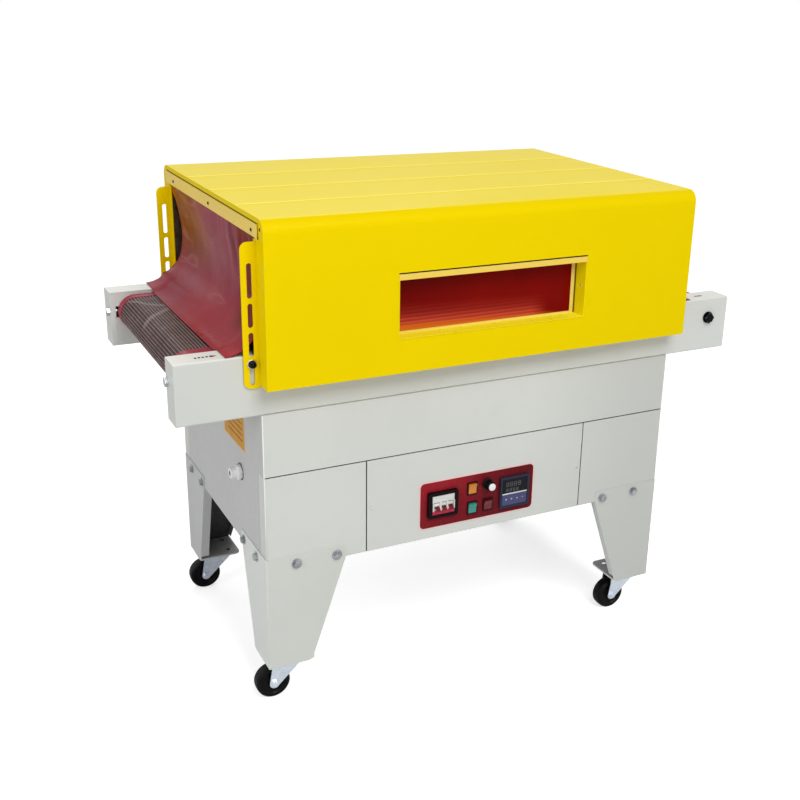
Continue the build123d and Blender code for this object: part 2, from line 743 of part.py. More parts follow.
def caster_wheel(x, y):
    """Moulded wheel: crowned tread, recessed disc and a hub with the axle bore."""
    radius = wheel_diameter / 2
    bore = wheel_bore / 2
    hub = wheel_hub_diameter / 2
    rim = wheel_rim_diameter / 2
    half = wheel_width / 2
    disc = half - wheel_disc_recess
    rim_face = half - wheel_rim_recess
    tread = half - wheel_shoulder
    axle = Axis((x - caster_trail, y, axle_z), (0, 1, 0))
    with BuildPart() as wheel:
        with BuildSketch(Plane((x - caster_trail, y, axle_z), x_dir=(0, 1, 0), z_dir=(1, 0, 0))):
            with BuildLine():
                Polyline(
                    (-half, bore), (-half, hub), (-disc, hub + wheel_draft / 2),
                    (-disc, rim - wheel_draft), (-rim_face, rim), (-rim_face, radius - wheel_shoulder),
                    (-tread, radius - wheel_crown),
                )
                ThreePointArc((-tread, radius - wheel_crown), (0, radius), (tread, radius - wheel_crown))
                Polyline(
                    (tread, radius - wheel_crown), (rim_face, radius - wheel_shoulder), (rim_face, rim),
                    (disc, rim - wheel_draft), (disc, hub + wheel_draft / 2), (half, hub),
                    (half, bore), (-half, bore),
                )
            make_face()
        revolve(axis=axle)
    return wheel


for face_name, side in FACE_SIDES.items():
    for end_name, end in END_SIDES.items():
        fork = caster_fork(end * stem_x, side * stem_y)
        fork.part.label = f"caster_fork_{face_name}_{end_name}"
        export_step(fork.part, f"parts/caster_fork_{face_name}_{end_name}.step")
        wheel = caster_wheel(end * stem_x, side * stem_y)
        wheel.part.label = f"caster_wheel_{face_name}_{end_name}"
        export_step(wheel.part, f"parts/caster_wheel_{face_name}_{end_name}.step")

# Hood: folded outer skin, tunnel liner inside it and a frame that closes each end
skin_inner_face = hood_face - sheet
skin_inner_top = hood_top - sheet
liner_outer_side = tunnel_side + sheet
liner_outer_top = tunnel_roof + sheet
with BuildPart() as hood_skin:
    with BuildSketch(Plane.YZ.offset(-hood_end)) as skin_section:
        with Locations((0, (hood_bottom + hood_top) / 2)):
            Rectangle(2 * hood_face, hood_height)
        fillet(skin_section.vertices().group_by(Axis.Y)[-1], hood_bend)
        with BuildSketch(mode=Mode.SUBTRACT) as skin_hollow:
            with Locations((0, (hood_bottom + sheet + skin_inner_top) / 2)):
                Rectangle(2 * skin_inner_face, skin_inner_top - hood_bottom - sheet)
            fillet(skin_hollow.vertices().group_by(Axis.Y)[-1], hood_bend - sheet)
        with Locations((0, hood_bottom + sheet / 2)):
            Rectangle(2 * (liner_outer_side + seat_gap), 2 * sheet, mode=Mode.SUBTRACT)
    extrude(amount=2 * hood_end)
    with BuildSketch(Plane.YZ.offset(-hood_end)):
        for row in (-1, 0, 1):
            with Locations((hood_bead_offset + row * hood_bead_pitch, hood_top)):
                Trapezoid(hood_bead_width, 2 * hood_bead_height, hood_bead_slope)
    extrude(amount=2 * hood_end)
    with BuildSketch(facing(-hood_face + sheet / 2)):
        with Locations((window_shift, (window_low + window_high) / 2)):
            Rectangle(window_length, window_height)
    extrude(amount=sheet, both=True, mode=Mode.SUBTRACT)
hood_skin.part.label = "hood_skin"
export_step(hood_skin.part, "parts/hood_skin.step")

liner_length = 2 * hood_end - 2 * sheet
with BuildPart() as hood_liner:
    with BuildSketch(Plane.YZ.offset(-liner_length / 2)):
        with Locations((0, (hood_bottom + liner_outer_top) / 2)):
            Rectangle(2 * liner_outer_side, liner_outer_top - hood_bottom)
        with Locations((0, (hood_bottom + tunnel_roof) / 2)):
            Rectangle(2 * tunnel_side, tunnel_roof - hood_bottom, mode=Mode.SUBTRACT)
    extrude(amount=liner_length)
    with BuildSketch(facing(-tunnel_side - sheet / 2)):
        with Locations((window_shift, (window_frame_low + window_frame_high) / 2)):
            Rectangle(window_length, window_frame_high - window_frame_low + 2 * seat_gap)
    extrude(amount=sheet, both=True, mode=Mode.SUBTRACT)
hood_liner.part.label = "hood_liner"
export_step(hood_liner.part, "parts/hood_liner.step")


def hood_end_frame(end):
    """Frame between the skin and the tunnel mouth, wider open where it passes the beams."""
    side_half = skin_inner_face - seat_gap
    top = skin_inner_top - seat_gap
    bottom = hood_bottom + sheet + seat_gap
    foot = beam_top + mouth_foot
    with BuildPart() as frame:
        with BuildSketch(Plane.YZ.offset(end * (hood_end - sheet / 2))) as section:
            with Locations((0, (bottom + top) / 2)):
                Rectangle(2 * side_half, top - bottom)
            fillet(section.vertices().group_by(Axis.Y)[-1], hood_bend - sheet)
            with Locations((0, (hood_bottom + foot) / 2)):
                Rectangle(2 * tunnel_side, foot - hood_bottom, mode=Mode.SUBTRACT)
            with BuildSketch(mode=Mode.SUBTRACT) as mouth:
                with Locations((0, (beam_top + tunnel_roof) / 2)):
                    Rectangle(2 * mouth_half_width, tunnel_roof - beam_top)
                fillet(mouth.vertices().group_by(Axis.Y)[-1], mouth_radius)
        extrude(amount=sheet / 2, both=True)
    return frame


hood_end_left = hood_end_frame(-1)
hood_end_left.part.label = "hood_end_left"
export_step(hood_end_left.part, "parts/hood_end_left.step")

hood_end_right = hood_end_frame(1)
hood_end_right.part.label = "hood_end_right"
export_step(hood_end_right.part, "parts/hood_end_right.step")

# Window: a deep frame from the liner to the skin, with a strip along the front of its top and a
# bead in front of the glass
frame_outer_length = window_length - 2 * seat_gap
frame_outer_height = window_frame_high - window_frame_low
frame_inner_length = frame_outer_length - 2 * sheet
frame_inner_height = frame_outer_height - 2 * sheet
frame_middle = (window_shift, (window_frame_low + window_frame_high) / 2)
glass_back = tunnel_side + seat_gap
bead_back = glass_back + glass_thickness + seat_gap
with BuildPart() as window_frame:
    with BuildSketch(facing(-tunnel_side)):
        with Locations(frame_middle):
            Rectangle(frame_outer_length, frame_outer_height)
            Rectangle(frame_inner_length, frame_inner_height, mode=Mode.SUBTRACT)
    extrude(amount=hood_face - tunnel_side)
    with BuildSketch(facing(-bead_back)):
        with Locations(frame_middle):
            Rectangle(frame_outer_length, frame_outer_height)
            Rectangle(frame_inner_length - 2 * window_bead_side, frame_inner_height - 2 * window_bead_edge,
                      mode=Mode.SUBTRACT)
    extrude(amount=sheet)
    with BuildSketch(facing(-hood_face + sheet)):
        with Locations((window_shift, window_frame_high - window_strip / 2)):
            Rectangle(frame_outer_length, window_strip)
    extrude(amount=sheet)
window_frame.part.label = "window_frame"
export_step(window_frame.part, "parts/window_frame.step")

with BuildPart() as window_glass:
    with BuildSketch(facing(-glass_back)):
        with Locations(frame_middle):
            Rectangle(frame_inner_length - 2 * seat_gap, frame_inner_height - 2 * seat_gap)
    extrude(amount=glass_thickness)
window_glass.part.label = "window_glass"
export_step(window_glass.part, "parts/window_glass.step")

# Slotted plates at the entry end, through which the hood is bolted to the beams
plate_outer_x = -hood_end - slotted_plate_reach
plate_low_z = hood_bottom - slotted_plate_drop
with BuildPart() as slotted_plates:
    with BuildSketch(facing(-beam_outer - hood_side_gap)) as plate_outline:
        with Locations((plate_outer_x + slotted_plate_reach / 2, plate_low_z + slotted_plate_height / 2)):
            Rectangle(slotted_plate_reach, slotted_plate_height)
        fillet(plate_outline.vertices().group_by(Axis.X)[0], slotted_plate_radius)
        for row in range(slot_count):
            low = plate_low_z + slot_low_margin + row * slot_pitch
            length = top_slot_length if row == slot_count - 1 else slot_length
            with Locations((plate_outer_x + slot_edge, low + length / 2)):
                SlotOverall(length, slot_width, rotation=90, mode=Mode.SUBTRACT)
    extrude(amount=slotted_plate_thickness)
    mirror(about=Plane.XZ)
slotted_plates.part.label = "slotted_plates"
export_step(slotted_plates.part, "parts/slotted_plates.step")

with BuildPart() as hood_bolts:
    bolt_place = (plate_outer_x + slot_edge, cabinet_top + hood_bolt_height)
    plate_outer_y = beam_outer + hood_side_gap + slotted_plate_thickness
    with BuildSketch(facing(-plate_outer_y)):
        with Locations(bolt_place):
            Circle(hood_washer_diameter / 2)
    extrude(amount=hood_washer_thickness)
    with BuildSketch(facing(-plate_outer_y - hood_washer_thickness)):
        with Locations(bolt_place):
            Circle(hood_bolt_head_diameter / 2)
    extrude(amount=hood_bolt_head)
    with BuildSketch(facing(-(beam_outer - beam_sheet))):
        with Locations(bolt_place):
            Circle(hood_bolt_diameter / 2)
    extrude(amount=plate_outer_y - beam_outer + beam_sheet)
    mirror(about=Plane.XZ)
hood_bolts.part.label = "hood_bolts"
export_step(hood_bolts.part, "parts/hood_bolts.step")

# Curtains: a sheet clamped over each mouth that drapes outwards onto the belt
curtain_outer_x = hood_end + seat_gap + curtain_thickness
clamp_low = tunnel_roof + curtain_clamp_rise
clamp_high = clamp_low + curtain_clamp_height
with BuildPart() as curtain_clamps:
    with BuildSketch(Plane.YZ.offset(curtain_outer_x + seat_gap)):
        with Locations((0, (clamp_low + clamp_high) / 2)):
            Rectangle(curtain_clamp_length, curtain_clamp_height)
    extrude(amount=curtain_clamp_thickness)
    mirror(about=Plane.YZ)
curtain_clamps.part.label = "curtain_clamps"
export_step(curtain_clamps.part, "parts/curtain_clamps.step")


def curtain(end):
    """One hanging sheet: straight in its clamp, waisted in the mouth, flared over the belt."""
    lip = (curtain_outer_x + curtain_flare, beam_top + curtain_clearance + curtain_thickness)
    drape = [
        (curtain_outer_x, tunnel_roof - curtain_straight),
        (curtain_outer_x - curtain_waist_in, tunnel_roof - curtain_waist_drop),
        (curtain_outer_x + curtain_knee_out, tunnel_roof - curtain_knee_drop),
        lip,
    ]
    outer = [(end * x, z) for x, z in drape]
    inner = [(end * (x - curtain_thickness), z - curtain_thickness) for x, z in drape]
    hang = ((0, -1), (end * (lip[0] - drape[2][0]), (lip[1] - drape[2][1]) / 2))
    top = clamp_high - seat_gap
    half = curtain_width / 2
    side = [
        (half, top),
        (half, tunnel_roof),
        (half - curtain_notch, tunnel_roof - curtain_straight),
        (half - curtain_notch, tunnel_roof - curtain_notch_low),
        (half, tunnel_roof - curtain_notch_foot),
        (half, beam_top),
    ]
    with BuildPart() as sheet_part:
        with BuildSketch(facing(half)):
            with BuildLine():
                Spline(*outer, tangents=hang)
                Line(outer[-1], inner[-1])
                Spline(*inner, tangents=hang)
                Polyline(inner[0], (inner[0][0], top), (outer[0][0], top), outer[0])
            make_face()
        extrude(amount=curtain_width)
        with BuildSketch(Plane.YZ.offset(end * curtain_outer_x)):
            with BuildLine():
                Polyline(*side, *[(-y, z) for y, z in reversed(side)], close=True)
            make_face()
        extrude(amount=curtain_flare + sheet, both=True, mode=Mode.INTERSECT)
    return sheet_part


entry_curtain = curtain(-1)
entry_curtain.part.label = "entry_curtain"
export_step(entry_curtain.part, "parts/entry_curtain.step")

exit_curtain = curtain(1)
exit_curtain.part.label = "exit_curtain"
export_step(exit_curtain.part, "parts/exit_curtain.step")

# Control plate on the door
with BuildPart() as control_plate:
    with BuildSketch(facing(-door_face)):
        with Locations((plate_shift, plate_bottom + plate_height / 2)):
            RectangleRounded(plate_length, plate_height, plate_radius)
        for switch_x, switch_z in switch_places.values():
            with Locations((switch_x, plate_bottom + switch_z)):
                Rectangle(switch_body_width + seat_gap, switch_body_height + seat_gap,
                          mode=Mode.SUBTRACT)
        with Locations((knob_x, plate_bottom + knob_z)):
            Circle(knob_shaft_diameter / 2 + knob_shaft_clearance, mode=Mode.SUBTRACT)
    extrude(amount=plate_thickness)
control_plate.part.label = "control_plate"
export_step(control_plate.part, "parts/control_plate.step")

# Circuit breaker behind a dark bezel, with one toggle across its poles
toggle_axis_y = -(plate_face + breaker_depth - toggle_axis_depth)
toggle_axis_z = plate_bottom + breaker_z
toggle_slot_half = toggle_hub_radius + toggle_lever_thickness
with BuildPart() as breaker_bezel:
    with BuildSketch(facing(-plate_face)):
        with Locations((breaker_x, plate_bottom + breaker_z)):
            RectangleRounded(breaker_bezel_width, breaker_bezel_height, breaker_bezel_radius)
            Rectangle(breaker_width + seat_gap, breaker_height + seat_gap, mode=Mode.SUBTRACT)
    extrude(amount=breaker_bezel_thickness)
breaker_bezel.part.label = "breaker_bezel"
export_step(breaker_bezel.part, "parts/breaker_bezel.step")

with BuildPart() as breaker_body:
    with BuildSketch(facing(-plate_face)):
        with Locations((breaker_x, plate_bottom + breaker_z)):
            Rectangle(breaker_width, breaker_height)
            Rectangle(toggle_width + 2 * toggle_side_gap, 2 * toggle_slot_half, mode=Mode.SUBTRACT)
    extrude(amount=breaker_depth)
breaker_body.part.label = "breaker_body"
export_step(breaker_body.part, "parts/breaker_body.step")

with BuildPart() as breaker_toggle:
    with BuildSketch(Plane.YZ.offset(breaker_x - toggle_width / 2)):
        with Locations((toggle_axis_y, toggle_axis_z)):
            Circle(toggle_hub_radius)
            with Locations(Location((0, 0), 180 + toggle_swing)):
                with Locations((toggle_lever / 2, 0)):
                    Rectangle(toggle_lever, toggle_lever_thickness)
    extrude(amount=toggle_width)
breaker_toggle.part.label = "breaker_toggle"
export_step(breaker_toggle.part, "parts/breaker_toggle.step")

# Rocker switches: a flanged cup in the plate and a rocker that tips inside it
with BuildPart() as switch_housings:
    for switch_x, switch_z in switch_places.values():
        place = (switch_x, plate_bottom + switch_z)
        with BuildSketch(facing(-plate_face)):
            with Locations(place):
                RectangleRounded(switch_width, switch_height, switch_radius)
        extrude(amount=switch_flange)
        with BuildSketch(facing(-plate_face)):
            with Locations(place):
                Rectangle(switch_body_width, switch_body_height)
        extrude(amount=-switch_body_depth)
        with BuildSketch(facing(-plate_face - switch_flange)):
            with Locations(place):
                Rectangle(pocket_width, pocket_height)
        extrude(amount=-switch_flange - switch_pocket_depth, mode=Mode.SUBTRACT)
switch_housings.part.label = "switch_housings"
export_step(switch_housings.part, "parts/switch_housings.step")


def rocker(switch_x, switch_z):
    """A rocker with a shallow V face, resting with its lower half pressed in."""
    reach = pocket_height / 2 - rocker_clearance
    front_y = -(plate_face + switch_flange)
    pivot_y = front_y + rocker_pivot_depth
    middle_z = plate_bottom + switch_z
    pressed_y = front_y - rocker_rise
    raised_y = pressed_y - (pocket_height / 2) * tan(radians(rocker_tilt))
    back_y = pivot_y + rocker_pivot_depth

    def corner(y, up):
        """The point at this depth that is one reach away from the pivot."""
        return (y, middle_z + up * sqrt(reach**2 - (y - pivot_y) ** 2))

    with BuildPart() as key:
        with BuildSketch(Plane.YZ.offset(switch_x - pocket_width / 2 + rocker_clearance)):
            with BuildLine():
                Polyline(
                    corner(back_y, -1),
                    corner(pressed_y, -1),
                    (pressed_y, middle_z),
                    corner(raised_y, 1),
                    corner(back_y, 1),
                    close=True,
                )
            make_face()
        extrude(amount=pocket_width - 2 * rocker_clearance)
    return key


for colour, place in switch_places.items():
    key = rocker(*place)
    key.part.label = f"rocker_{colour}"
    export_step(key.part, f"parts/rocker_{colour}.step")

# Speed knob on its shaft: a skirt, a tapered grip and a domed cap
knob_base_y = -(plate_face + knob_stand_off)
knob_axis_z = plate_bottom + knob_z
knob_tip_y = knob_base_y - knob_height
knob_shaft_end_y = knob_shaft_length - plate_face
with BuildPart() as speed_knob:
    with BuildSketch(Plane.YZ.offset(knob_x)):
        with BuildLine():
            Polyline(
                (knob_shaft_end_y, knob_axis_z),
                (knob_shaft_end_y, knob_axis_z + knob_shaft_diameter / 2),
                (knob_base_y, knob_axis_z + knob_shaft_diameter / 2),
                (knob_base_y, knob_axis_z + knob_diameter / 2),
                (knob_base_y - knob_skirt, knob_axis_z + knob_diameter / 2),
                (knob_base_y - knob_skirt - knob_skirt_slope, knob_axis_z + knob_grip_diameter / 2),
                (knob_tip_y + knob_cap_dome, knob_axis_z + knob_cap_diameter / 2),
                (knob_tip_y, knob_axis_z + knob_tip_diameter / 2),
                (knob_tip_y, knob_axis_z),
                close=True,
            )
        make_face()
    revolve(axis=Axis((knob_x, 0, knob_axis_z), (0, 1, 0)))
speed_knob.part.label = "speed_knob"
export_step(speed_knob.part, "parts/speed_knob.step")

# Temperature controller with a recessed face
with BuildPart() as temperature_controller:
    with BuildSketch(facing(-plate_face)):
        with Locations((controller_x, plate_bottom + controller_z)):
            RectangleRounded(controller_size, controller_size, controller_radius)
    extrude(amount=controller_rise)
    with BuildSketch(facing(-plate_face - controller_rise)):
        with Locations((controller_x, plate_bottom + controller_z)):
            Rectangle(controller_size - 2 * controller_rim, controller_size - 2 * controller_rim)
    extrude(amount=-controller_recess, mode=Mode.SUBTRACT)
temperature_controller.part.label = "temperature_controller"
export_step(temperature_controller.part, "parts/temperature_controller.step")

# Cable gland on the left end panel
gland_axis_z = cabinet_bottom + gland_rise
gland_face = -cabinet_end - gland_flange_thickness
gland_mouth = gland_face - gland_body_length
with BuildPart() as cable_gland:
    with BuildSketch(facing(gland_y)):
        with BuildLine():
            Polyline(
                (-cabinet_end, gland_axis_z + gland_bore / 2),
                (-cabinet_end, gland_axis_z + gland_flange_diameter / 2),
                (gland_face, gland_axis_z + gland_flange_diameter / 2),
                (gland_face, gland_axis_z + gland_body_diameter / 2),
                (gland_mouth, gland_axis_z + gland_mouth_diameter / 2),
                (gland_mouth, gland_axis_z + gland_bore / 2),
                close=True,
            )
        make_face()
    revolve(axis=Axis((0, gland_y, gland_axis_z), (1, 0, 0)))
cable_gland.part.label = "cable_gland"
export_step(cable_gland.part, "parts/cable_gland.step")
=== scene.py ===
import math
import random

import bmesh
import bpy
from mathutils import Matrix, Vector


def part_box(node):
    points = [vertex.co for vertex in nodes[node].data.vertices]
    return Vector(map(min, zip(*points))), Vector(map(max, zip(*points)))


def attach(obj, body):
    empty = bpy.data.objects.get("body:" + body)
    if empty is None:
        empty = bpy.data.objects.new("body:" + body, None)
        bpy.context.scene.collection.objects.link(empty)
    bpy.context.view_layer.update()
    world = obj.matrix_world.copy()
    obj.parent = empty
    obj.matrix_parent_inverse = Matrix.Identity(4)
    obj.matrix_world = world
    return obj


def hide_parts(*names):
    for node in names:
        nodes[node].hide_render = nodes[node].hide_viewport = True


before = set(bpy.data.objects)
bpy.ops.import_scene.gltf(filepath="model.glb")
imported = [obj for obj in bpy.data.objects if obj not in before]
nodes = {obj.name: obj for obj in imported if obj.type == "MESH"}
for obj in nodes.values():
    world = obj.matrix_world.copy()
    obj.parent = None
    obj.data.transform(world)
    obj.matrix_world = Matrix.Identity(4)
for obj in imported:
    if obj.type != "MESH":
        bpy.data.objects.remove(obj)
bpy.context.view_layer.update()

MACHINE = "machine"
ENDS = {"left": -1, "right": 1}
FACES = {"front": -1, "rear": 1}


def middle(name):
    """The middle of a node's box."""
    low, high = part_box(name)
    return (low + high) / 2


# Places on the machine, in metres, read from the frame
BEAM_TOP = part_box("front_beam")[1].z
ROLLER_X, _, ROLLER_Z = middle("drive_shaft_end")
MESH_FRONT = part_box("conveyor_belt")[0].y
_, MESH_REAR, BELT_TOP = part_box("conveyor_belt")[1]
BAND_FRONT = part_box("belt_edges")[0].y
BAND_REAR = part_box("belt_edges")[1].y
HOOD_END, _, HOOD_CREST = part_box("hood_skin")[1]
CLAMP_END, CLAMP_REAR, CLAMP_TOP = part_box("curtain_clamps")[1]
CABINET_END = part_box("right_end_panel")[1].x
CABINET_FRONT = -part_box("control_door")[0].y
PLATE_LOW, PLATE_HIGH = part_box("control_plate")
BREAKER_X, _, BREAKER_Z = middle("breaker_body")
BREAKER_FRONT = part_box("breaker_body")[0].y
CONTROLLER_X, _, CONTROLLER_Z = middle("temperature_controller")
KNOB_X, _, KNOB_Z = middle("speed_knob")
KNOB_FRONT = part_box("speed_knob")[0].y
_, GLAND_Y, GLAND_Z = middle("cable_gland")
GLAND_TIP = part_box("cable_gland")[0].x
MOUNT_END, MOUNT_REAR, MOUNT_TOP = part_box("caster_top_plates")[1]

# Sizes worked out from those places
MOUNT_HALF = 0.037
CASTER_X = MOUNT_END - MOUNT_HALF
CASTER_Y = MOUNT_REAR - MOUNT_HALF
BELT_THICKNESS = 0.0015
BELT_OUTER_R = BELT_TOP - ROLLER_Z
BELT_MIDDLE_R = BELT_OUTER_R - BELT_THICKNESS / 2
BELT_STRAIGHT = 2 * ROLLER_X
BELT_ARC = math.pi * BELT_MIDDLE_R
BELT_LOOP = 2 * (BELT_STRAIGHT + BELT_ARC)
THREAD_PITCH = 0.0067


# Camera
def place_camera():
    """Looks down from the front left, with a slight roll and the lens shifted, as the photograph does."""
    azimuth, elevation, roll = (math.radians(a) for a in (-28.40, 19.95, 1.742))
    target = Vector((0.0997, 0.0, 0.5276))
    distance = 2.7096
    back = Vector((math.sin(azimuth) * math.cos(elevation),
                   -math.cos(azimuth) * math.cos(elevation), math.sin(elevation)))
    right = (-back).cross(Vector((0, 0, 1))).normalized()
    up = right.cross(-back).normalized()
    turned_right = math.cos(roll) * right + math.sin(roll) * up
    turned_up = -math.sin(roll) * right + math.cos(roll) * up
    data = bpy.data.cameras.new("camera")
    data.sensor_width = 36.0
    data.lens = 50.45
    data.shift_x = -0.0696
    data.shift_y = -0.0108
    data.clip_end = 60.0
    camera = bpy.data.objects.new("camera", data)
    bpy.context.scene.collection.objects.link(camera)
    spot = target + back * distance
    turn = Matrix((turned_right, turned_up, back)).transposed().to_4x4()
    camera.matrix_world = Matrix.Translation(spot) @ turn
    bpy.context.scene.camera = camera


place_camera()


# Materials
def shade(color, share):
    """A colour made darker, or paler, by a share."""
    return tuple(share * part for part in color)


class Tree:
    """A node tree, with short ways to add to it."""

    def __init__(self, tree):
        self.tree = tree

    def feed(self, target, value):
        """Gives an input a socket, a colour or a plain value."""
        if isinstance(value, bpy.types.NodeSocket):
            self.tree.links.new(value, target)
        elif target.type == "RGBA":
            target.default_value = (*value, 1.0)
        else:
            target.default_value = value

    def node(self, kind, inputs=(), **settings):
        made = self.tree.nodes.new(kind)
        for key, value in settings.items():
            setattr(made, key, value)
        for key, value in dict(inputs).items():
            self.feed(made.inputs[key], value)
        return made

    def ramp(self, source, low, high, out_low=0.0, out_high=1.0):
        """Goes smoothly from one value to another as the source goes from low to high."""
        inputs = {"Value": source, "From Min": low, "From Max": high, "To Min": out_low, "To Max": out_high}
        return self.node("ShaderNodeMapRange", inputs, interpolation_type="SMOOTHSTEP").outputs["Result"]

    def fall(self, source, low, high):
        """One below the low value, zero above the high one."""
        return self.ramp(source, low, high, 1.0, 0.0)

    def math(self, operation, *values, clamp=False):
        made = self.node("ShaderNodeMath", enumerate(values), operation=operation, use_clamp=clamp)
        return made.outputs["Value"]

    def times(self, first, second, clamp=False):
        return self.math("MULTIPLY", first, second, clamp=clamp)


class Shader(Tree):
    """A material with one Principled shader."""

    sockets = {"color": "Base Color", "rough": "Roughness", "metal": "Metallic", "spec": "Specular IOR Level",
               "transmit": "Transmission Weight", "ior": "IOR", "glow": "Emission Color",
               "glow_strength": "Emission Strength"}

    def __init__(self, name):
        self.material = bpy.data.materials.new(name)
        self.material.use_nodes = True
        super().__init__(self.material.node_tree)
        self.bsdf = self.tree.nodes["Principled BSDF"]
        self.place = self.node("ShaderNodeTexCoord").outputs["Object"]
        self.normal = self.node("ShaderNodeTexCoord").outputs["Normal"]

    def set(self, **values):
        for word, value in values.items():
            self.feed(self.bsdf.inputs[self.sockets[word]], value)

    def noise(self, scale, detail=2.0, rough=0.5, stretch=None, distortion=0.0):
        place = self.place
        if stretch:
            place = self.node("ShaderNodeMapping", {"Vector": place, "Scale": stretch}).outputs["Vector"]
        inputs = {"Vector": place, "Scale": scale, "Detail": detail, "Roughness": rough,
                  "Distortion": distortion}
        return self.node("ShaderNodeTexNoise", inputs).outputs["Fac"]

    def split(self, vector):
        """The three components of a vector, by their letters."""
        return self.node("ShaderNodeSeparateXYZ", {"Vector": vector}).outputs

    def axis(self, letter):
        return self.split(self.place)[letter]

    def mix(self, factor, first, second):
        """Mixes two colours, each given as a colour or as a socket."""
        made = self.node("ShaderNodeMix", {"Factor": factor, 6: first, 7: second}, data_type="RGBA")
        return made.outputs[2]

    def within(self, letter, low, high, soft=0.0006):
        """One where a coordinate lies between two values, falling off over a soft edge."""
        spot = self.axis(letter)
        return self.times(self.ramp(spot, low - soft, low + soft), self.fall(spot, high - soft, high + soft))

    def faces(self, letter, low, high):
        """One where the surface's own normal component lies above the given range."""
        return self.ramp(self.split(self.normal)[letter], low, high)

    def patches(self, scale, detail, low=0.3, high=0.7, rough=0.5):
        """Soft-edged patches: one inside them, zero between them."""
        return self.ramp(self.noise(scale, detail, rough), low, high)

    def vary_rough(self, scale, detail, low, high, span=(0.25, 0.75)):
        """Lets the roughness wander between two values."""
        self.set(rough=self.ramp(self.noise(scale, detail), *span, low, high))

    def bump(self, source, height, strength):
        """Adds relief on top of the relief that is there."""
        inputs = {"Height": source, "Distance": height, "Strength": strength}
        target = self.bsdf.inputs["Normal"]
        if target.is_linked:
            inputs["Normal"] = target.links[0].from_socket
        self.feed(target, self.node("ShaderNodeBump", inputs).outputs["Normal"])

    def grain(self, scale, detail, height, strength):
        """Adds an even relief of the given height."""
        self.bump(self.noise(scale, detail), height, strength)


def paint(name, color, dark, rough, spec, grime, right_end_shade=1.0):
    """Baked paint on sheet steel: orange peel, faint patches, a little dust, and painted shade that darkens
    it towards the right end.
    """
    look = Shader(name)
    dust = look.ramp(look.noise(38.0, 6.0, 0.65), 0.52, 0.78, 0.0, grime)
    tone = look.mix(look.patches(3.0, 4.0, rough=0.6), color, shade(color, 0.955))
    # Painted shade: the colour darkens towards the right end, where less light falls.
    tone = look.mix(look.ramp(look.axis("X"), 0.08, 0.46), tone, shade(color, right_end_shade))
    look.set(color=look.mix(dust, tone, dark), spec=spec)
    look.vary_rough(60.0, 5.0, rough - 0.05, rough + 0.07)
    look.grain(420.0, 2.0, 0.00006, 0.5)
    return look.material


def metal(name, color, rough, stretch=None, spots=None):
    """Bare or plated steel with a blotchy tone and fine marks, which may run one way."""
    look = Shader(name)
    fine = look.noise(180.0, 5.0, 0.7, stretch=stretch)
    blotches = look.patches(45.0, 6.0, 0.35, 0.75, rough=0.7)
    look.set(color=look.mix(blotches, color, spots or shade(color, 0.72)), metal=1.0,
             rough=look.ramp(fine, 0.25, 0.8, rough - 0.08, rough + 0.14))
    look.bump(fine, 0.00003, 0.6)
    return look.material


def plastic(name, color, rough, spec=0.5):
    """Moulded plastic, or an even print, with a fine grain."""
    look = Shader(name)
    look.set(color=look.mix(look.patches(30.0, 4.0, 0.3, 0.8), color, shade(color, 0.85)), spec=spec)
    look.vary_rough(120.0, 4.0, rough - 0.04, rough + 0.08, span=(0.2, 0.8))
    look.grain(900.0, 2.0, 0.00004, 0.6)
    return look.material


cream = paint("cream_paint", (0.640, 0.655, 0.622), (0.50, 0.50, 0.46), 0.40, 0.35, grime=0.10, right_end_shade=0.84)
plate_border = paint("plate_border", (0.80, 0.60, 0.57), (0.6, 0.4, 0.38), 0.4, 0.3, grime=0.1)
zinc = metal("zinc", (0.66, 0.68, 0.72), 0.22, spots=(0.32, 0.34, 0.38))
bolt_zinc = metal("bolt_zinc", (0.52, 0.54, 0.57), 0.20, spots=(0.15, 0.155, 0.17))
fork_zinc = metal("fork_zinc", (0.80, 0.86, 0.95), 0.26, spots=(0.64, 0.72, 0.84))
# The cream paint darkened as painted shade for the end panels, which turn away from the main light.
end_panel_shaded_cream = paint("end_panel_shaded_cream", (0.530, 0.538, 0.532), (0.48, 0.48, 0.46), 0.40, 0.3, grime=0.10)
plate_zinc = metal("dull_zinc", (0.30, 0.31, 0.32), 0.38, spots=(0.16, 0.165, 0.17))
steel = metal("turned_steel", (0.52, 0.53, 0.54), 0.28, stretch=(1.0, 0.06, 1.0))
liner = metal("liner_steel", (0.22, 0.18, 0.16), 0.45, spots=(0.12, 0.07, 0.05))
black_metal = metal("black_steel", (0.016, 0.016, 0.018), 0.26)
washer_metal = metal("washer_steel", (0.70, 0.68, 0.60), 0.28, spots=(0.45, 0.43, 0.38))
black = plastic("black_plastic", (0.006, 0.006, 0.007), 0.34, spec=0.14)
bezel_black = plastic("bezel_black", (0.005, 0.002, 0.003), 0.32, spec=0.10)
controller_grey = plastic("controller_case", (0.024, 0.027, 0.052), 0.32, spec=0.15)
white = plastic("white_plastic", (0.72, 0.73, 0.70), 0.3, spec=0.3)
cap_white = plastic("knob_cap", (0.86, 0.84, 0.86), 0.22)
grey = plastic("gland_nylon", (0.84, 0.85, 0.85), 0.36)
# Painted shade: near-black for holes, bores and shadow gaps that are drawn as dark pieces.
painted_shade_dark = plastic("painted_shade_dark", (0.012, 0.012, 0.013), 0.6, spec=0.1)
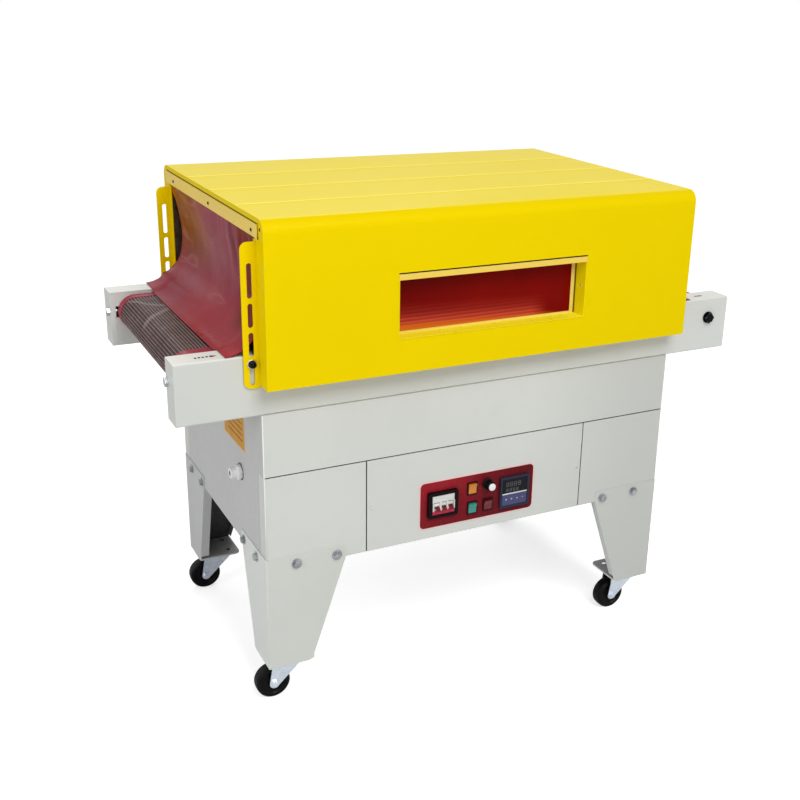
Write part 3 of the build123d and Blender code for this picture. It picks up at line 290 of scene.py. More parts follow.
# The toggle's red darkened as painted shade for the levers; the lit tie-bar uses the crimson below.
toggle_red_shaded = plastic("toggle_red", (0.15, 0.010, 0.016), 0.28, spec=0.15)
crimson = plastic("crimson_strip", (0.56, 0.030, 0.075), 0.35, spec=0.15)
arrow_red = plastic("arrow_red", (0.22, 0.008, 0.016), 0.5, spec=0.05)
arrow_dark = plastic("arrow_dark", (0.012, 0.004, 0.005), 0.5, spec=0.05)
switch_maroon = plastic("switch_case", (0.026, 0.005, 0.006), 0.35, spec=0.10)
clamp_yellow = paint("clamp_yellow", (0.93, 0.68, 0.13), (0.55, 0.38, 0.08), 0.32, 0.15, grime=0.12)
# Painted shade: the rollers are dark so the belt's openings over them look dark.
roller_dark = plastic("roller_painted_shade", (0.050, 0.030, 0.033), 0.5, spec=0.1)
# Pale cream for the painted highlights along the cabinet's corners.
corner_highlight_cream = paint("corner_highlight_cream", (0.90, 0.91, 0.88), (0.7, 0.7, 0.66), 0.3, 0.4, grime=0.05)
# Painted shade: the cabinet's floor is dark grey because it lies in shade.
underside = paint("underside_painted_shade", (0.10, 0.10, 0.10), (0.05, 0.05, 0.05), 0.5, 0.2, grime=0.3)


def yellow_paint():
    """Glossy yellow enamel with faint patches: painted shade darkens it towards the right end, painted light
    makes the hood's top paler, and painted highlights make the crest of each bead palest.
    """
    look = Shader("yellow_paint")
    patches = look.patches(2.2, 3.0, rough=0.55)
    coat = look.mix(patches, (0.840, 0.630, 0.0), (0.815, 0.605, 0.0))
    # Painted shade: darker towards the right end.
    coat = look.mix(look.ramp(look.axis("X"), -0.30, 0.46), coat, (0.800, 0.600, 0.0))
    # Painted light on the top, and painted highlights along the crest of each bead.
    top = look.ramp(look.axis("Z"), HOOD_CREST - 0.0025, HOOD_CREST - 0.0017)
    crests = look.ramp(look.axis("Z"), HOOD_CREST - 0.0007, HOOD_CREST - 0.0002, 0.0, 0.8)
    coat = look.mix(top, coat, (0.88, 0.70, 0.004))
    look.set(color=look.mix(crests, coat, (0.98, 0.90, 0.24)), spec=0.02)
    look.vary_rough(4.0, 1.0, 0.28, 0.32)
    return look.material


def window_paint():
    """The window's folded frame: pale upper strip and pale glazing bead, yellow elsewhere, with painted light
    on the right reveal and the bottom sill and a painted shadow line between bead and reveal.
    """
    look = Shader("window_paint")
    patches = look.patches(6.0, 3.0)
    base = look.mix(patches, (0.83, 0.620, 0.0), (0.80, 0.595, 0.0))
    # Painted light: the right reveal is brightened where it stands in shade.
    right_reveal_light = look.within("X", 0.2120, 0.2160)
    base = look.mix(right_reveal_light, base, (0.92, 0.76, 0.0))
    # Painted light: the upward-facing bottom sill is brightened where the recess shades it.
    sill_light = look.times(look.faces("Z", 0.5, 0.9), look.fall(look.axis("Z"), 0.806, 0.810))
    base = look.mix(sill_light, base, (1.0, 0.90, 0.02))
    strip = look.times(look.within("Z", 0.9150, 0.9300), look.within("Y", -0.352, -0.3462))
    bead = look.within("Y", -0.3133, -0.3100, soft=0.0003)
    # Painted shadow: a dark line in the gap between glazing bead and right reveal.
    reveal_gap_shadow = look.times(bead, look.ramp(look.axis("X"), 0.2085, 0.2093))
    pale = look.mix(strip, base, (0.84, 0.60, 0.10))
    beaded = look.mix(bead, pale, (0.84, 0.64, 0.17))
    look.set(color=look.mix(reveal_gap_shadow, beaded, (0.16, 0.10, 0.0)), spec=0.10)
    look.vary_rough(70.0, 3.0, 0.26, 0.34)
    look.grain(300.0, 2.0, 0.00003, 0.3)
    return look.material


def plate_paint():
    """Screen-printed control plate, with painted light making it brighter towards the upper left corner."""
    look = Shader("plate_red")
    # Painted light: the plate brightens towards the upper left, where more light falls.
    along = look.fall(look.axis("X"), -0.15, 0.10)
    high = look.ramp(look.axis("Z"), PLATE_LOW.z, PLATE_HIGH.z, 0.35, 1.0)
    cloudy = look.ramp(look.noise(14.0, detail=4.0), 0.3, 0.75, 0.75, 1.1)
    glow = look.times(look.times(along, high), cloudy, clamp=True)
    look.set(color=look.mix(glow, (0.120, 0.006, 0.010), (0.36, 0.016, 0.026)), spec=0.08)
    look.vary_rough(90.0, 3.0, 0.24, 0.30)
    look.grain(500.0, 2.0, 0.00003, 0.4)
    return look.material


def leg_paint():
    """Cream paint outside, with painted light on the front legs' left side faces and painted shade on the
    rear legs and towards the right end; the inner sides are dark painted shade and the foot plates grey
    painted shade.
    """
    look = Shader("leg_paint")
    place, facing = look.split(look.place), look.split(look.normal)
    # Painted shade: the inner sides of the legs, where little light reaches.
    inward = []
    for letter, edge in (("Y", 0.285), ("X", 0.465)):
        reach = look.times(place[letter], facing[letter])
        inward.append(look.fall(reach, -edge - 0.004, -edge + 0.004))
    inner = look.math("MAXIMUM", *inward)
    # Painted shade: the foot plates' tops are greyed.
    plate = look.times(look.ramp(facing["Z"], 0.6, 0.8), look.fall(place["Z"], 0.108, 0.112))
    patches = look.patches(3.0, 4.0)
    outside = look.mix(patches, (0.620, 0.640, 0.600), (0.590, 0.610, 0.570))
    # Painted shade: darker towards the right end.
    outside = look.mix(look.ramp(place["X"], 0.08, 0.46), outside, (0.530, 0.545, 0.515))
    # Painted light on the front legs' left side faces.
    flank_light = look.times(look.fall(facing["X"], -0.95, -0.6), look.fall(place["Y"], -0.1, 0.1))
    outside = look.mix(flank_light, outside, (0.72, 0.74, 0.72))
    # Painted shade on the rear legs.
    rear = look.ramp(place["Y"], -0.1, 0.1, 0.0, 0.75)
    outside = look.mix(rear, outside, (0.50, 0.505, 0.515))
    inner_shade = look.patches(40.0, 5.0, 0.35, 0.7)
    inner_shade = look.mix(inner_shade, (0.035, 0.035, 0.037), (0.060, 0.060, 0.062))
    foot_plate_shade = look.mix(look.patches(30.0, 5.0), (0.48, 0.47, 0.46), (0.62, 0.61, 0.60))
    look.set(color=look.mix(plate, look.mix(inner, outside, inner_shade), foot_plate_shade), spec=0.3)
    look.vary_rough(60.0, 5.0, 0.36, 0.46)
    look.grain(420.0, 2.0, 0.00006, 0.5)
    return look.material


def beam_paint():
    """Cream paint on the long beams: painted light makes the tops paler, and painted shade makes them dark
    where the tunnel covers them.
    """
    look = Shader("beam_paint")
    patches = look.patches(3.0, 4.0)
    side = look.mix(patches, (0.635, 0.650, 0.620), (0.605, 0.620, 0.590))
    side = look.mix(look.ramp(look.axis("X"), 0.30, 0.60), side, (0.650, 0.665, 0.635))
    # Painted light: paler on top.
    coat = look.mix(look.faces("Z", 0.5, 0.9), side, (0.80, 0.815, 0.775))
    # Painted shade: dark on the tops inside the tunnel.
    under_hood = look.within("X", -0.488, 0.488, soft=0.001)
    hood_shadow = look.times(under_hood, look.ramp(look.axis("Z"), BEAM_TOP - 0.0025, BEAM_TOP - 0.0010))
    look.set(color=look.mix(hood_shadow, coat, (0.03, 0.028, 0.026)), spec=0.3)
    look.vary_rough(60.0, 5.0, 0.35, 0.47)
    look.grain(420.0, 2.0, 0.00006, 0.5)
    return look.material


yellow = yellow_paint()
leg_cream = leg_paint()
beam_cream = beam_paint()
yellow_frame = window_paint()
plate_red = plate_paint()


def rubber():
    """Hard moulded rubber, glossy from the mould, with a little dust in its texture."""
    look = Shader("wheel_rubber")
    dust = look.ramp(look.noise(55.0, detail=8.0, rough=0.7), 0.55, 0.85, 0.0, 0.25)
    look.set(color=look.mix(dust, (0.0022, 0.0022, 0.0030), (0.016, 0.016, 0.017)), spec=0.12)
    look.vary_rough(160.0, 4.0, 0.30, 0.50, span=(0.2, 0.8))
    look.grain(700.0, 3.0, 0.00008, 0.5)
    return look.material


def lens(name, color, glow):
    """Moulded translucent lens with fine ribs inside and a faint painted glow."""
    look = Shader(name)
    ribs = look.node("ShaderNodeTexWave", {"Vector": look.place, "Scale": 320.0}, bands_direction="X")
    look.set(color=look.mix(look.ramp(ribs.outputs["Fac"], 0.2, 0.8), color, shade(color, 0.72)))
    # Painted light: the faint emission brightens the lens.
    look.set(rough=0.16, spec=0.6, transmit=0.25, ior=1.49, glow=color, glow_strength=glow)
    return look.material


def curtain_sheet():
    """Maroon translucent sheet: warm where the oven light comes through, redder near the belt with a painted
    pale highlight band there, and painted shade in the upper front creases and over its upper front part.
    """
    look = Shader("curtain_sheet")
    across, high = look.axis("Y"), look.axis("Z")
    cloudy = look.ramp(look.noise(7.0, detail=4.0, rough=0.55, distortion=0.5), 0.3, 0.72)
    base = look.mix(cloudy, (0.245, 0.042, 0.068), (0.325, 0.070, 0.090))
    low = look.times(look.fall(high, 0.80, 0.90), look.ramp(across, -0.05, 0.16, 1.0, 0.35))
    red = look.mix(look.times(low, 0.9), base, (0.370, 0.032, 0.044))
    warm = look.times(look.ramp(across, -0.02, 0.17), look.ramp(high, 0.835, 0.930))
    amber = look.mix(cloudy, (0.235, 0.055, 0.004), (0.36, 0.115, 0.006))
    tone = look.mix(look.times(warm, 0.97), red, amber)
    # Painted shade: darker over the sheet's upper front part.
    front_shade = look.times(look.ramp(across, -0.215, -0.150, 0.97, 0.0), look.ramp(high, 0.80, 0.83))
    tone = look.mix(front_shade, tone, (0.19, 0.018, 0.008))
    # Painted shade in the creases near the sheet's top front.
    crease_shade = look.ramp(look.noise(7.0, detail=2.0, stretch=(0.4, 4.5, 0.35)), 0.53, 0.62)
    upper_front = look.times(look.fall(across, -0.12, -0.02), look.ramp(high, 0.88, 0.97))
    crease_shade = look.times(crease_shade, upper_front)
    tone = look.mix(look.times(crease_shade, 0.55), tone, (0.10, 0.012, 0.022))
    streaks = look.noise(3.6, detail=1.0, rough=0.4, stretch=(1.0, 1.0, 8.0), distortion=0.3)
    fine = look.times(look.ramp(streaks, 0.600, 0.640), look.fall(streaks, 0.645, 0.690))
    fine = look.times(fine, look.ramp(high, 0.80, 0.86))
    # Painted highlight: a soft pale band across the sheet near the belt.
    pale_band_highlight = look.times(look.within("Z", 0.815, 0.838, soft=0.012), look.ramp(across, -0.06, 0.12))
    pale = look.math("ADD", look.times(fine, 0.16), look.times(pale_band_highlight, 0.12), clamp=True)
    look.set(color=look.mix(pale, tone, (0.66, 0.34, 0.36)), spec=0.05, ior=1.41)
    look.vary_rough(14.0, 5.0, 0.26, 0.42, span=(0.3, 0.7))
    look.grain(16.0, 3.0, 0.0012, 0.20)
    look.grain(600.0, 2.0, 0.00004, 0.4)
    return look.material


def tinted_glass():
    """Dark red tempered glass with painted light: the lit liner's warm bands low in it and an orange glow at
    its foot.
    """
    look = Shader("tinted_glass")
    along = look.axis("X")
    # Painted light: warm bands low in the glass, and an orange glow at its foot.
    level = look.math("ADD", look.axis("Z"), look.times(along, 0.034))
    lean = {"Vector": look.place, "Rotation": (0.0, math.radians(1.5), 0.0), "Scale": (0.25, 1.0, 1.0)}
    leaning = look.node("ShaderNodeMapping", lean).outputs["Vector"]
    waves = {"Vector": leaning, "Scale": 42.0, "Distortion": 1.0}
    lines = look.node("ShaderNodeTexWave", waves, bands_direction="Z")
    threads = look.ramp(lines.outputs["Fac"], 0.2, 0.95, 0.55, 1.0)
    seen = look.fall(along, 0.100, 0.150)
    faint = look.times(look.fall(level, 0.828, 0.856), 0.22)
    lit = look.math("ADD", faint, look.times(look.fall(level, 0.808, 0.834), 0.78))
    glow = look.times(look.times(lit, threads), seen)
    soft = look.patches(5.0, 3.0, 0.35, 0.7)
    deep = look.mix(soft, (0.172, 0.002, 0.001), (0.215, 0.003, 0.001))
    tone = look.mix(glow, deep, (0.60, 0.070, 0.040))
    foot = look.times(look.fall(level, 0.797, 0.815), look.fall(along, 0.140, 0.180))
    look.set(color=look.mix(foot, tone, (0.66, 0.16, 0.010)))
    look.set(transmit=0.04, rough=0.06, ior=1.5, spec=0.02)
    look.grain(7.0, 2.0, 0.0006, 0.15)
    return look.material


def belt_look(name, color, worn, streak=0.0, left_end_darkening=0.0):
    """Coated glass-fibre threads, paler where they rub, with two pale streaks outside the hood's left end and
    a darker left end.
    """
    look = Shader(name)
    worn_mask = look.patches(22.0, 7.0, 0.35, 0.75, rough=0.65)
    tone = look.mix(worn_mask, color, worn)
    if streak:
        across, along = look.axis("Y"), look.axis("X")
        # Two pale streaks across the belt outside the hood.
        straight_line = look.math("ADD", look.math("ADD", along, look.times(across, -0.96)), 0.653)
        bow = look.times(look.math("POWER", look.math("ADD", along, 0.555), 2.0), -20.7)
        bowed_line = look.math("ADD", look.math("ADD", across, bow), -0.132)
        pale_streak = look.math("MAXIMUM", look.fall(look.math("ABSOLUTE", straight_line), 0.003, 0.014),
                         look.fall(look.math("ABSOLUTE", bowed_line), 0.002, 0.012))
        outside_hood = look.ramp(along, -0.480, -0.50)
        pale_streak = look.times(pale_streak, look.times(outside_hood, look.ramp(look.axis("Z"), 0.755, 0.770)))
        # Darker towards the belt's left end.
        dim = look.ramp(along, -0.660, -0.590, left_end_darkening, 0.0)
        tone = look.mix(dim, tone, (0.045, 0.022, 0.022))
        tone = look.mix(look.times(pale_streak, streak), tone, (0.46, 0.38, 0.37))
    look.set(color=tone, spec=0.16)
    look.vary_rough(90.0, 4.0, 0.32, 0.52, span=(0.2, 0.8))
    look.grain(900.0, 3.0, 0.00008, 0.6)
    return look.material


def display_glass():
    """Glossy, almost black."""
    look = Shader("display_glass")
    look.set(color=(0.010, 0.010, 0.014), rough=0.12, spec=0.12)
    look.grain(40.0, 1.0, 0.0002, 0.15)
    return look.material


tyre = rubber()
orange_lens = lens("orange_lens", (0.74, 0.27, 0.02), 0.10)
green_lens = lens("green_lens", (0.04, 0.34, 0.28), 0.10)
red_lens = lens("red_lens", (0.21, 0.006, 0.012), 0.02)
maroon = curtain_sheet()
glass = tinted_glass()
belt_brown = belt_look("belt_mesh", (0.240, 0.160, 0.150), (0.35, 0.250, 0.230), streak=0.5, left_end_darkening=0.20)
belt_dark = belt_look("belt_warp_and_shade_ground", (0.040, 0.017, 0.018), (0.070, 0.036, 0.036), streak=0.35)
belt_red = belt_look("belt_band", (0.30, 0.012, 0.036), (0.42, 0.03, 0.065))
belt_ridge = belt_look("belt_band_ridge", (0.34, 0.05, 0.075), (0.46, 0.12, 0.15))
amber = plastic("amber_plate", (0.62, 0.29, 0.004), 0.35, spec=0.1)
amber_dark = plastic("amber_stripe", (0.34, 0.11, 0.002), 0.4, spec=0.1)
amber_edge = plastic("amber_edge", (0.72, 0.50, 0.22), 0.35)
key_blue = plastic("key_strip", (0.066, 0.070, 0.170), 0.36, spec=0.2)
key_pale = plastic("key_mark", (0.62, 0.64, 0.68), 0.4)
key_warm = plastic("key_mark_warm", (0.45, 0.20, 0.24), 0.4)
silver_line = plastic("silver_line", (0.70, 0.72, 0.72), 0.25)
digit_off = plastic("digit_dim", (0.075, 0.075, 0.08), 0.3)
display = display_glass()

node_looks = {
    beam_cream: ["front_beam", "back_beam", "beam_covers"],
    cream: ["front_header", "rear_header", "front_left_panel",
            "front_right_panel", "rear_panels", "control_door", "cabinet_deck"],
    leg_cream: ["leg_front_left", "leg_front_right", "leg_rear_left", "leg_rear_right"],
    end_panel_shaded_cream: ["left_end_panel", "right_end_panel"],
    yellow: ["hood_skin", "hood_end_left", "hood_end_right", "slotted_plates"],
    clamp_yellow: ["curtain_clamps"],
    yellow_frame: ["window_frame"],
    underside: ["cabinet_floor"],
    liner: ["hood_liner"],
    plate_red: ["control_plate"],
    plate_zinc: ["caster_top_plates"],
    zinc: ["tension_bolts"],
    bolt_zinc: ["leg_bolts"],
    fork_zinc: [f"caster_fork_{f}_{e}" for f in FACES for e in ENDS],
    steel: ["bearing_blocks", "carry_rods"],
    roller_dark: ["tail_roller", "drive_roller"],
    black_metal: ["drive_shaft_end", "hood_bolts"],
    belt_red: ["belt_edges"],
    glass: ["window_glass"],
    tyre: [f"caster_wheel_{f}_{e}" for f in FACES for e in ENDS],
    bezel_black: ["breaker_bezel"],
    black: ["speed_knob"],
    switch_maroon: ["switch_housings"],
    controller_grey: ["temperature_controller"],
    white: ["breaker_body"],
    grey: ["cable_gland"],
    orange_lens: ["rocker_orange"],
    green_lens: ["rocker_green"],
    red_lens: ["rocker_red"],
}
for look, names in node_looks.items():
    for name in names:
        for material_slot in nodes[name].material_slots:
            material_slot.link = "OBJECT"
            material_slot.material = look


def soften(name, width):
    """Rounds the hard edges of a carried-over solid."""
    piece = nodes[name]
    weld = piece.modifiers.new("weld", "WELD")
    weld.merge_threshold = 0.00001
    bevel = piece.modifiers.new("bevel", "BEVEL")
    bevel.width = width
    bevel.segments = 2
    bevel.limit_method = "ANGLE"
    bevel.angle_limit = math.radians(40.0)
    bevel.harden_normals = True


edge_radii = {
    0.0012: ["breaker_bezel"],
    0.0010: ["temperature_controller"],
    0.0007: ["switch_housings"],
    0.0006: ["slotted_plates", "front_beam", "back_beam",
             "leg_front_left", "leg_front_right", "leg_rear_left", "leg_rear_right"],
    0.0005: ["front_left_panel", "front_right_panel", "front_header", "window_frame",
             "hood_end_left", "hood_end_right"],
    0.0004: ["curtain_clamps", "breaker_body", "control_plate"],
}
for width, names in edge_radii.items():
    for name in names:
        soften(name, width)


# Mesh helpers
def piece_from(name, verts, faces, material, smooth=False, body=MACHINE, slot=None):
    """Makes a piece from points and faces and lets it ride on a body; the slot argument is not used."""
    data = bpy.data.meshes.new(name)
    data.from_pydata([tuple(v) for v in verts], [], faces)
    data.update()
    data.materials.append(material)
    made = bpy.data.objects.new(name, data)
    bpy.context.scene.collection.objects.link(made)
    if smooth:
        data.shade_smooth()
    if body:
        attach(made, body)
    return made


class Builder:
    """Collects several small shapes into one mesh."""

    def __init__(self):
        self.verts = []
        self.faces = []

    def add(self, verts, faces):
        start = len(self.verts)
        self.verts += [Vector(v) for v in verts]
        self.faces += [[start + i for i in face] for face in faces]

    def add_loops(self, loops):
        """Quads between closed loops of points, and from the last loop back to the first."""
        count, size = len(loops), len(loops[0])
        faces = []
        for row in range(count):
            other = (row + 1) % count
            for k in range(size):
                n = (k + 1) % size
                faces.append([row * size + k, other * size + k, other * size + n, row * size + n])
        self.add([spot for loop in loops for spot in loop], faces)

    def piece(self, name, material, **settings):
        return piece_from(name, self.verts, self.faces, material, **settings)


def basis(normal):
    """Two unit vectors square to a normal, and the normal's own unit vector."""
    normal = Vector(normal).normalized()
    hint = Vector((0, 0, 1)) if abs(normal.z) < 0.9 else Vector((0, 1, 0))
    side = hint.cross(normal).normalized()
    return side, normal.cross(side).normalized(), normal


def lathe(builder, origin, normal, profile, segments):
    """Revolves (radius, height) points about the normal; a radius of zero closes the end."""
    side, up, axis = basis(normal)
    verts, faces, rings = [], [], []
    for radius, height in profile:
        centre = Vector(origin) + axis * height
        if radius < 1e-7:
            rings.append([len(verts)])
            verts.append(centre)
            continue
        ring = []
        for step in range(segments):
            angle = 2 * math.pi * step / segments
            ring.append(len(verts))
            verts.append(centre + radius * (math.cos(angle) * side + math.sin(angle) * up))
        rings.append(ring)
    for low, high in zip(rings, rings[1:]):
        for step in range(segments):
            nxt = (step + 1) % segments
            if len(low) == 1 and len(high) == 1:
                continue
            if len(low) == 1:
                faces.append([low[0], high[nxt], high[step]])
            elif len(high) == 1:
                faces.append([low[step], low[nxt], high[0]])
            else:
                faces.append([low[step], low[nxt], high[nxt], high[step]])
    builder.add(verts, faces)


def pan_screw(builder, origin, normal, radius, turn):
    """A domed screw head with a cross recess, sitting on its face."""
    rings, segments = 9, 36
    side, up, axis = basis(normal)
    origin = Vector(origin)
    height = radius * 0.55
    verts, faces = [origin + axis * (height * 0.45)], []
    for ring in range(1, rings + 1):
        share = ring / rings
        for step in range(segments):
            angle = 2 * math.pi * step / segments
            x, y = share * math.cos(angle + turn), share * math.sin(angle + turn)
            dome = height * math.sqrt(max(0.0, 1.0 - (share * 0.98) ** 2.6))
            in_cross = min(abs(x), abs(y)) < 0.13 and share < 0.6
            sink = height * 0.5 if in_cross else 0.0
            spot = share * radius * (math.cos(angle) * side + math.sin(angle) * up)
            verts.append(origin + spot + axis * (dome - sink))
    base = len(verts)
    for step in range(segments):
        angle = 2 * math.pi * step / segments
        verts.append(origin + radius * (math.cos(angle) * side + math.sin(angle) * up))
    for step in range(segments):
        nxt = (step + 1) % segments
        faces.append([0, 1 + step, 1 + nxt])
        for ring in range(rings - 1):
            a = 1 + ring * segments
            faces.append([a + step, a + segments + step, a + segments + nxt, a + nxt])
        edge = 1 + (rings - 1) * segments
        faces.append([edge + step, base + step, base + nxt, edge + nxt])
    builder.add(verts, faces)


def block(builder, low, high, bevel=0.0003):
    """A box with every edge chamfered."""
    mesh = bmesh.new()
    bmesh.ops.create_cube(mesh, size=1.0)
    size = [h - l for l, h in zip(low, high)]
    centre = [(h + l) / 2 for l, h in zip(low, high)]
    for vert in mesh.verts:
        vert.co = Vector(vert.co[i] * size[i] + centre[i] for i in range(3))
    amount = min(bevel, min(size) * 0.4)
    bmesh.ops.bevel(mesh, geom=mesh.edges[:], offset=amount, segments=2, affect="EDGES", profile=0.6)
    mesh.verts.index_update()
    builder.add([v.co.copy() for v in mesh.verts], [[v.index for v in f.verts] for f in mesh.faces])
    mesh.free()


# Belt
def loop_point(distance, radius):
    """Point on the belt's loop at a radius, starting at the upper run's left end."""
    distance %= BELT_LOOP
    returning = distance >= BELT_STRAIGHT + BELT_ARC
    if returning:
        distance -= BELT_STRAIGHT + BELT_ARC
    turn = -1 if returning else 1
    if distance < BELT_STRAIGHT:
        return Vector((turn * (distance - ROLLER_X), 0, ROLLER_Z + turn * radius))
    angle = turn * math.pi / 2 - (distance - BELT_STRAIGHT) / BELT_ARC * math.pi
    return Vector((turn * ROLLER_X + radius * math.cos(angle), 0, ROLLER_Z + radius * math.sin(angle)))


def cross_ridges(builder, y_low, y_high, inner, outer, half):
    """Threads square to the belt's run, all the way round the loop, half as wide outside as inside."""
    count = round(BELT_LOOP / THREAD_PITCH)
    for index in range(count):
        centre = index * BELT_LOOP / count
        section = [loop_point(centre - half, inner), loop_point(centre - half / 2, outer),
                   loop_point(centre + half / 2, outer), loop_point(centre + half, inner)]
        verts = [Vector((p.x, y, p.z)) for y in (y_low, y_high) for p in section]
        sides = [[0, 1, 5, 4], [1, 2, 6, 5], [2, 3, 7, 6], [3, 0, 4, 7]]
        builder.add(verts, sides + [[3, 2, 1, 0], [4, 5, 6, 7]])


def long_thread(builder, y, half, inner, outer, top=0.6):
    """One closed loop along the belt's run; its outer side is the given share of its inner one."""
    stations = []
    for start in (0.0, BELT_STRAIGHT + BELT_ARC):
        stations += [start + BELT_STRAIGHT * k / 4 for k in range(4)]
        stations += [start + BELT_STRAIGHT + BELT_ARC * k / 28 for k in range(28)]
    loops = []
    for station in stations:
        loop = []
        for radius, shift in ((inner, -half), (outer, -top * half), (outer, top * half), (inner, half)):
            spot = loop_point(station, radius)
            loop.append((spot.x, y + shift, spot.z))
        loops.append(loop)
    builder.add_loops(loops)


def make_belt():
    """Open mesh between two red bands: threads across the belt, and lower ones along it on a thin dark ground
    that stands in as painted shade under the mesh.
    """
    tuck = 0.002
    cross = Builder()
    cross_ridges(cross, MESH_FRONT - tuck, MESH_REAR + tuck, inner=0.03655, outer=0.03785, half=0.00090)
    long_threads_and_shade_ground = Builder()
    middle_y, half_mesh = (MESH_FRONT + MESH_REAR) / 2, (MESH_REAR - MESH_FRONT) / 2
    columns = round(2 * half_mesh / THREAD_PITCH)
    for column in range(columns):
        y = MESH_FRONT + (column + 0.5) * 2 * half_mesh / columns
        long_thread(long_threads_and_shade_ground, y, half=0.0007, inner=0.0366, outer=0.0371)
    # Painted shade: a thin dark sheet under the threads keeps the mesh's openings dark.
    long_thread(long_threads_and_shade_ground, middle_y, half=half_mesh, inner=0.03650, outer=0.03662, top=1.0)
    bands = Builder()
    inset = 0.001
    for low, high in ((BAND_FRONT + inset, MESH_FRONT), (MESH_REAR, BAND_REAR - inset)):
        cross_ridges(bands, low, high, inner=BELT_OUTER_R - 0.0002, outer=BELT_OUTER_R + 0.00035, half=0.0012)
    threads = cross.piece("belt_cross_threads", belt_brown, slot="belt_mesh")
    long_threads_and_shade_ground.piece("belt_long_threads_and_shade_ground", belt_dark, slot="belt_mesh")
    bands.piece("belt_band_threads", belt_ridge, slot="belt_mesh")
    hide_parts("conveyor_belt")


make_belt()


# Curtains
CURTAIN_WIDTH = 0.6
# The sheet's profile at its middle, as distance from the machine's middle and height
DRAPE = [(0.4883, 1.0335), (0.4883, 1.009), (0.4872, 0.985), (0.4800, 0.945), (0.4752, 0.905),
         (0.4782, 0.865), (0.4865, 0.838), (0.5000, 0.8160), (0.5190, 0.7995), (0.5375, 0.7915),
         (0.5530, 0.7890)]
# Each crease's place across the sheet, its spread and its force
CREASES = [(-0.262, 0.010, 0.9), (-0.225, 0.007, 0.8), (-0.186, 0.013, 1.0), (-0.128, 0.010, 0.6),
           (-0.05, 0.020, 0.4), (0.09, 0.016, 0.35), (0.19, 0.012, 0.4)]


def spline_through(points, steps):
    """Smooth polyline through points, with the given number of steps between two of them."""
    result = []
    padded_points = [points[0]] + list(points) + [points[-1]]
    for i in range(1, len(padded_points) - 2):
        p0, p1, p2, p3 = (Vector(p) for p in padded_points[i - 1:i + 3])
        for k in range(steps):
            t = k / steps
            result.append(0.5 * ((2 * p1) + (p2 - p0) * t + (2 * p0 - 5 * p1 + 4 * p2 - p3) * t * t
                                 + (3 * p1 - p0 - 3 * p2 + p3) * t ** 3))
    result.append(Vector(points[-1]))
    return result


def ease(value, low, high):
    """Smooth step of a value between two marks."""
    share = max(0.0, min(1.0, (value - low) / (high - low)))
    return share * share * (3.0 - 2.0 * share)


def curtain_spot(point, share, flat, creases, exit_end):
    """Where a spot of the sheet hangs, by its profile's point, its share of the drop and its place across."""
    hang = ease(share, 0.05, 0.2)
    foot = ease(share, 0.62, 1.0)
    waist = 0.015 * ease(point.y, 0.811, 0.849) * (1.0 - ease(point.y, 0.975, 0.995))
    y = flat * (1.0 - 2.0 * waist / CURTAIN_WIDTH)
    near_top = hang * (1.0 - ease(share, 0.15, 0.62))
    ripple = 0.0
    for spot, spread, force in creases:
        drift = spot + 0.05 * share * (0.4 - spot)
        ripple += force * 0.0036 * near_top * math.exp(-((flat - drift) / spread) ** 2)
    sway = 0.0028 * hang * math.sin(flat * 9.0 + 1.3 + 2.0 * share) * (1.0 - share)
    side_curl = 0.004 * ease(abs(flat), 0.270, 0.300) * hang * (1.0 - foot)
    fold = math.exp(-((share - 0.80 - 0.05 * math.sin(flat * 7.0)) / 0.030) ** 2) * ease(flat, -0.02, 0.12)
    wave = 0.0025 * foot * math.sin(flat * 5.0 + 0.6)
    shortened = 0.009 * foot if exit_end else 0.0
    x = point.x - ripple + sway - side_curl + 0.0035 * fold + wave - shortened
    rest = 0.7815 + 0.0062 * ease(abs(y), 0.222, 0.250)
    z = point.y + (rest - DRAPE[-1][1]) * foot + 0.0030 * fold
    return x, y, z


def make_curtain(end):
    """One hanging sheet: straight under its clamp, waisted in the mouth, its foot lying on belt and beams."""
    side = ENDS[end]
    rng = random.Random(11 if side < 0 else 23)
    path = spline_through(DRAPE, 7)
    lengths = [0.0]
    for a, b in zip(path, path[1:]):
        lengths.append(lengths[-1] + (b - a).length)
    columns = 110
    creases = [(spot + rng.uniform(-0.006, 0.006), spread, force) for spot, spread, force in CREASES]
    verts, faces = [], []
    for length, point in zip(lengths, path):
        for column in range(columns + 1):
            flat = CURTAIN_WIDTH * column / columns - CURTAIN_WIDTH / 2
            x, y, z = curtain_spot(point, length / lengths[-1], flat, creases, side > 0)
            verts.append(Vector((side * x, y, z)))
    for row in range(len(path) - 1):
        for column in range(columns):
            a = row * (columns + 1) + column
            faces.append([a, a + 1, a + columns + 2, a + columns + 1])
    if side > 0:
        faces = [face[::-1] for face in faces]
    name = "entry_curtain" if side < 0 else "exit_curtain"
    made = piece_from(f"{name}_sheet", verts, faces, maroon, smooth=True, slot="curtain_sheet")
    thick = made.modifiers.new("thickness", "SOLIDIFY")
    thick.thickness = 0.0009
    thick.offset = 0.0
    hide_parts(name)


for end_name in ENDS:
    make_curtain(end_name)


# Screws and small fittings
CORNERS = [(face, side) for face in (-1, 1) for side in (-1, 1)]


def make_clamp_screws():
    """Three screws in each curtain clamp."""
    screws = Builder()
    for y in (-0.292, -0.018, 0.254):
        for side in (-1, 1):
            pan_screw(screws, (side * CLAMP_END, -side * y, 1.023), (side, 0, 0), 0.0036, turn=0.3 + y)
    screws.piece("clamp_screws", black_metal, smooth=True, slot="black_steel")


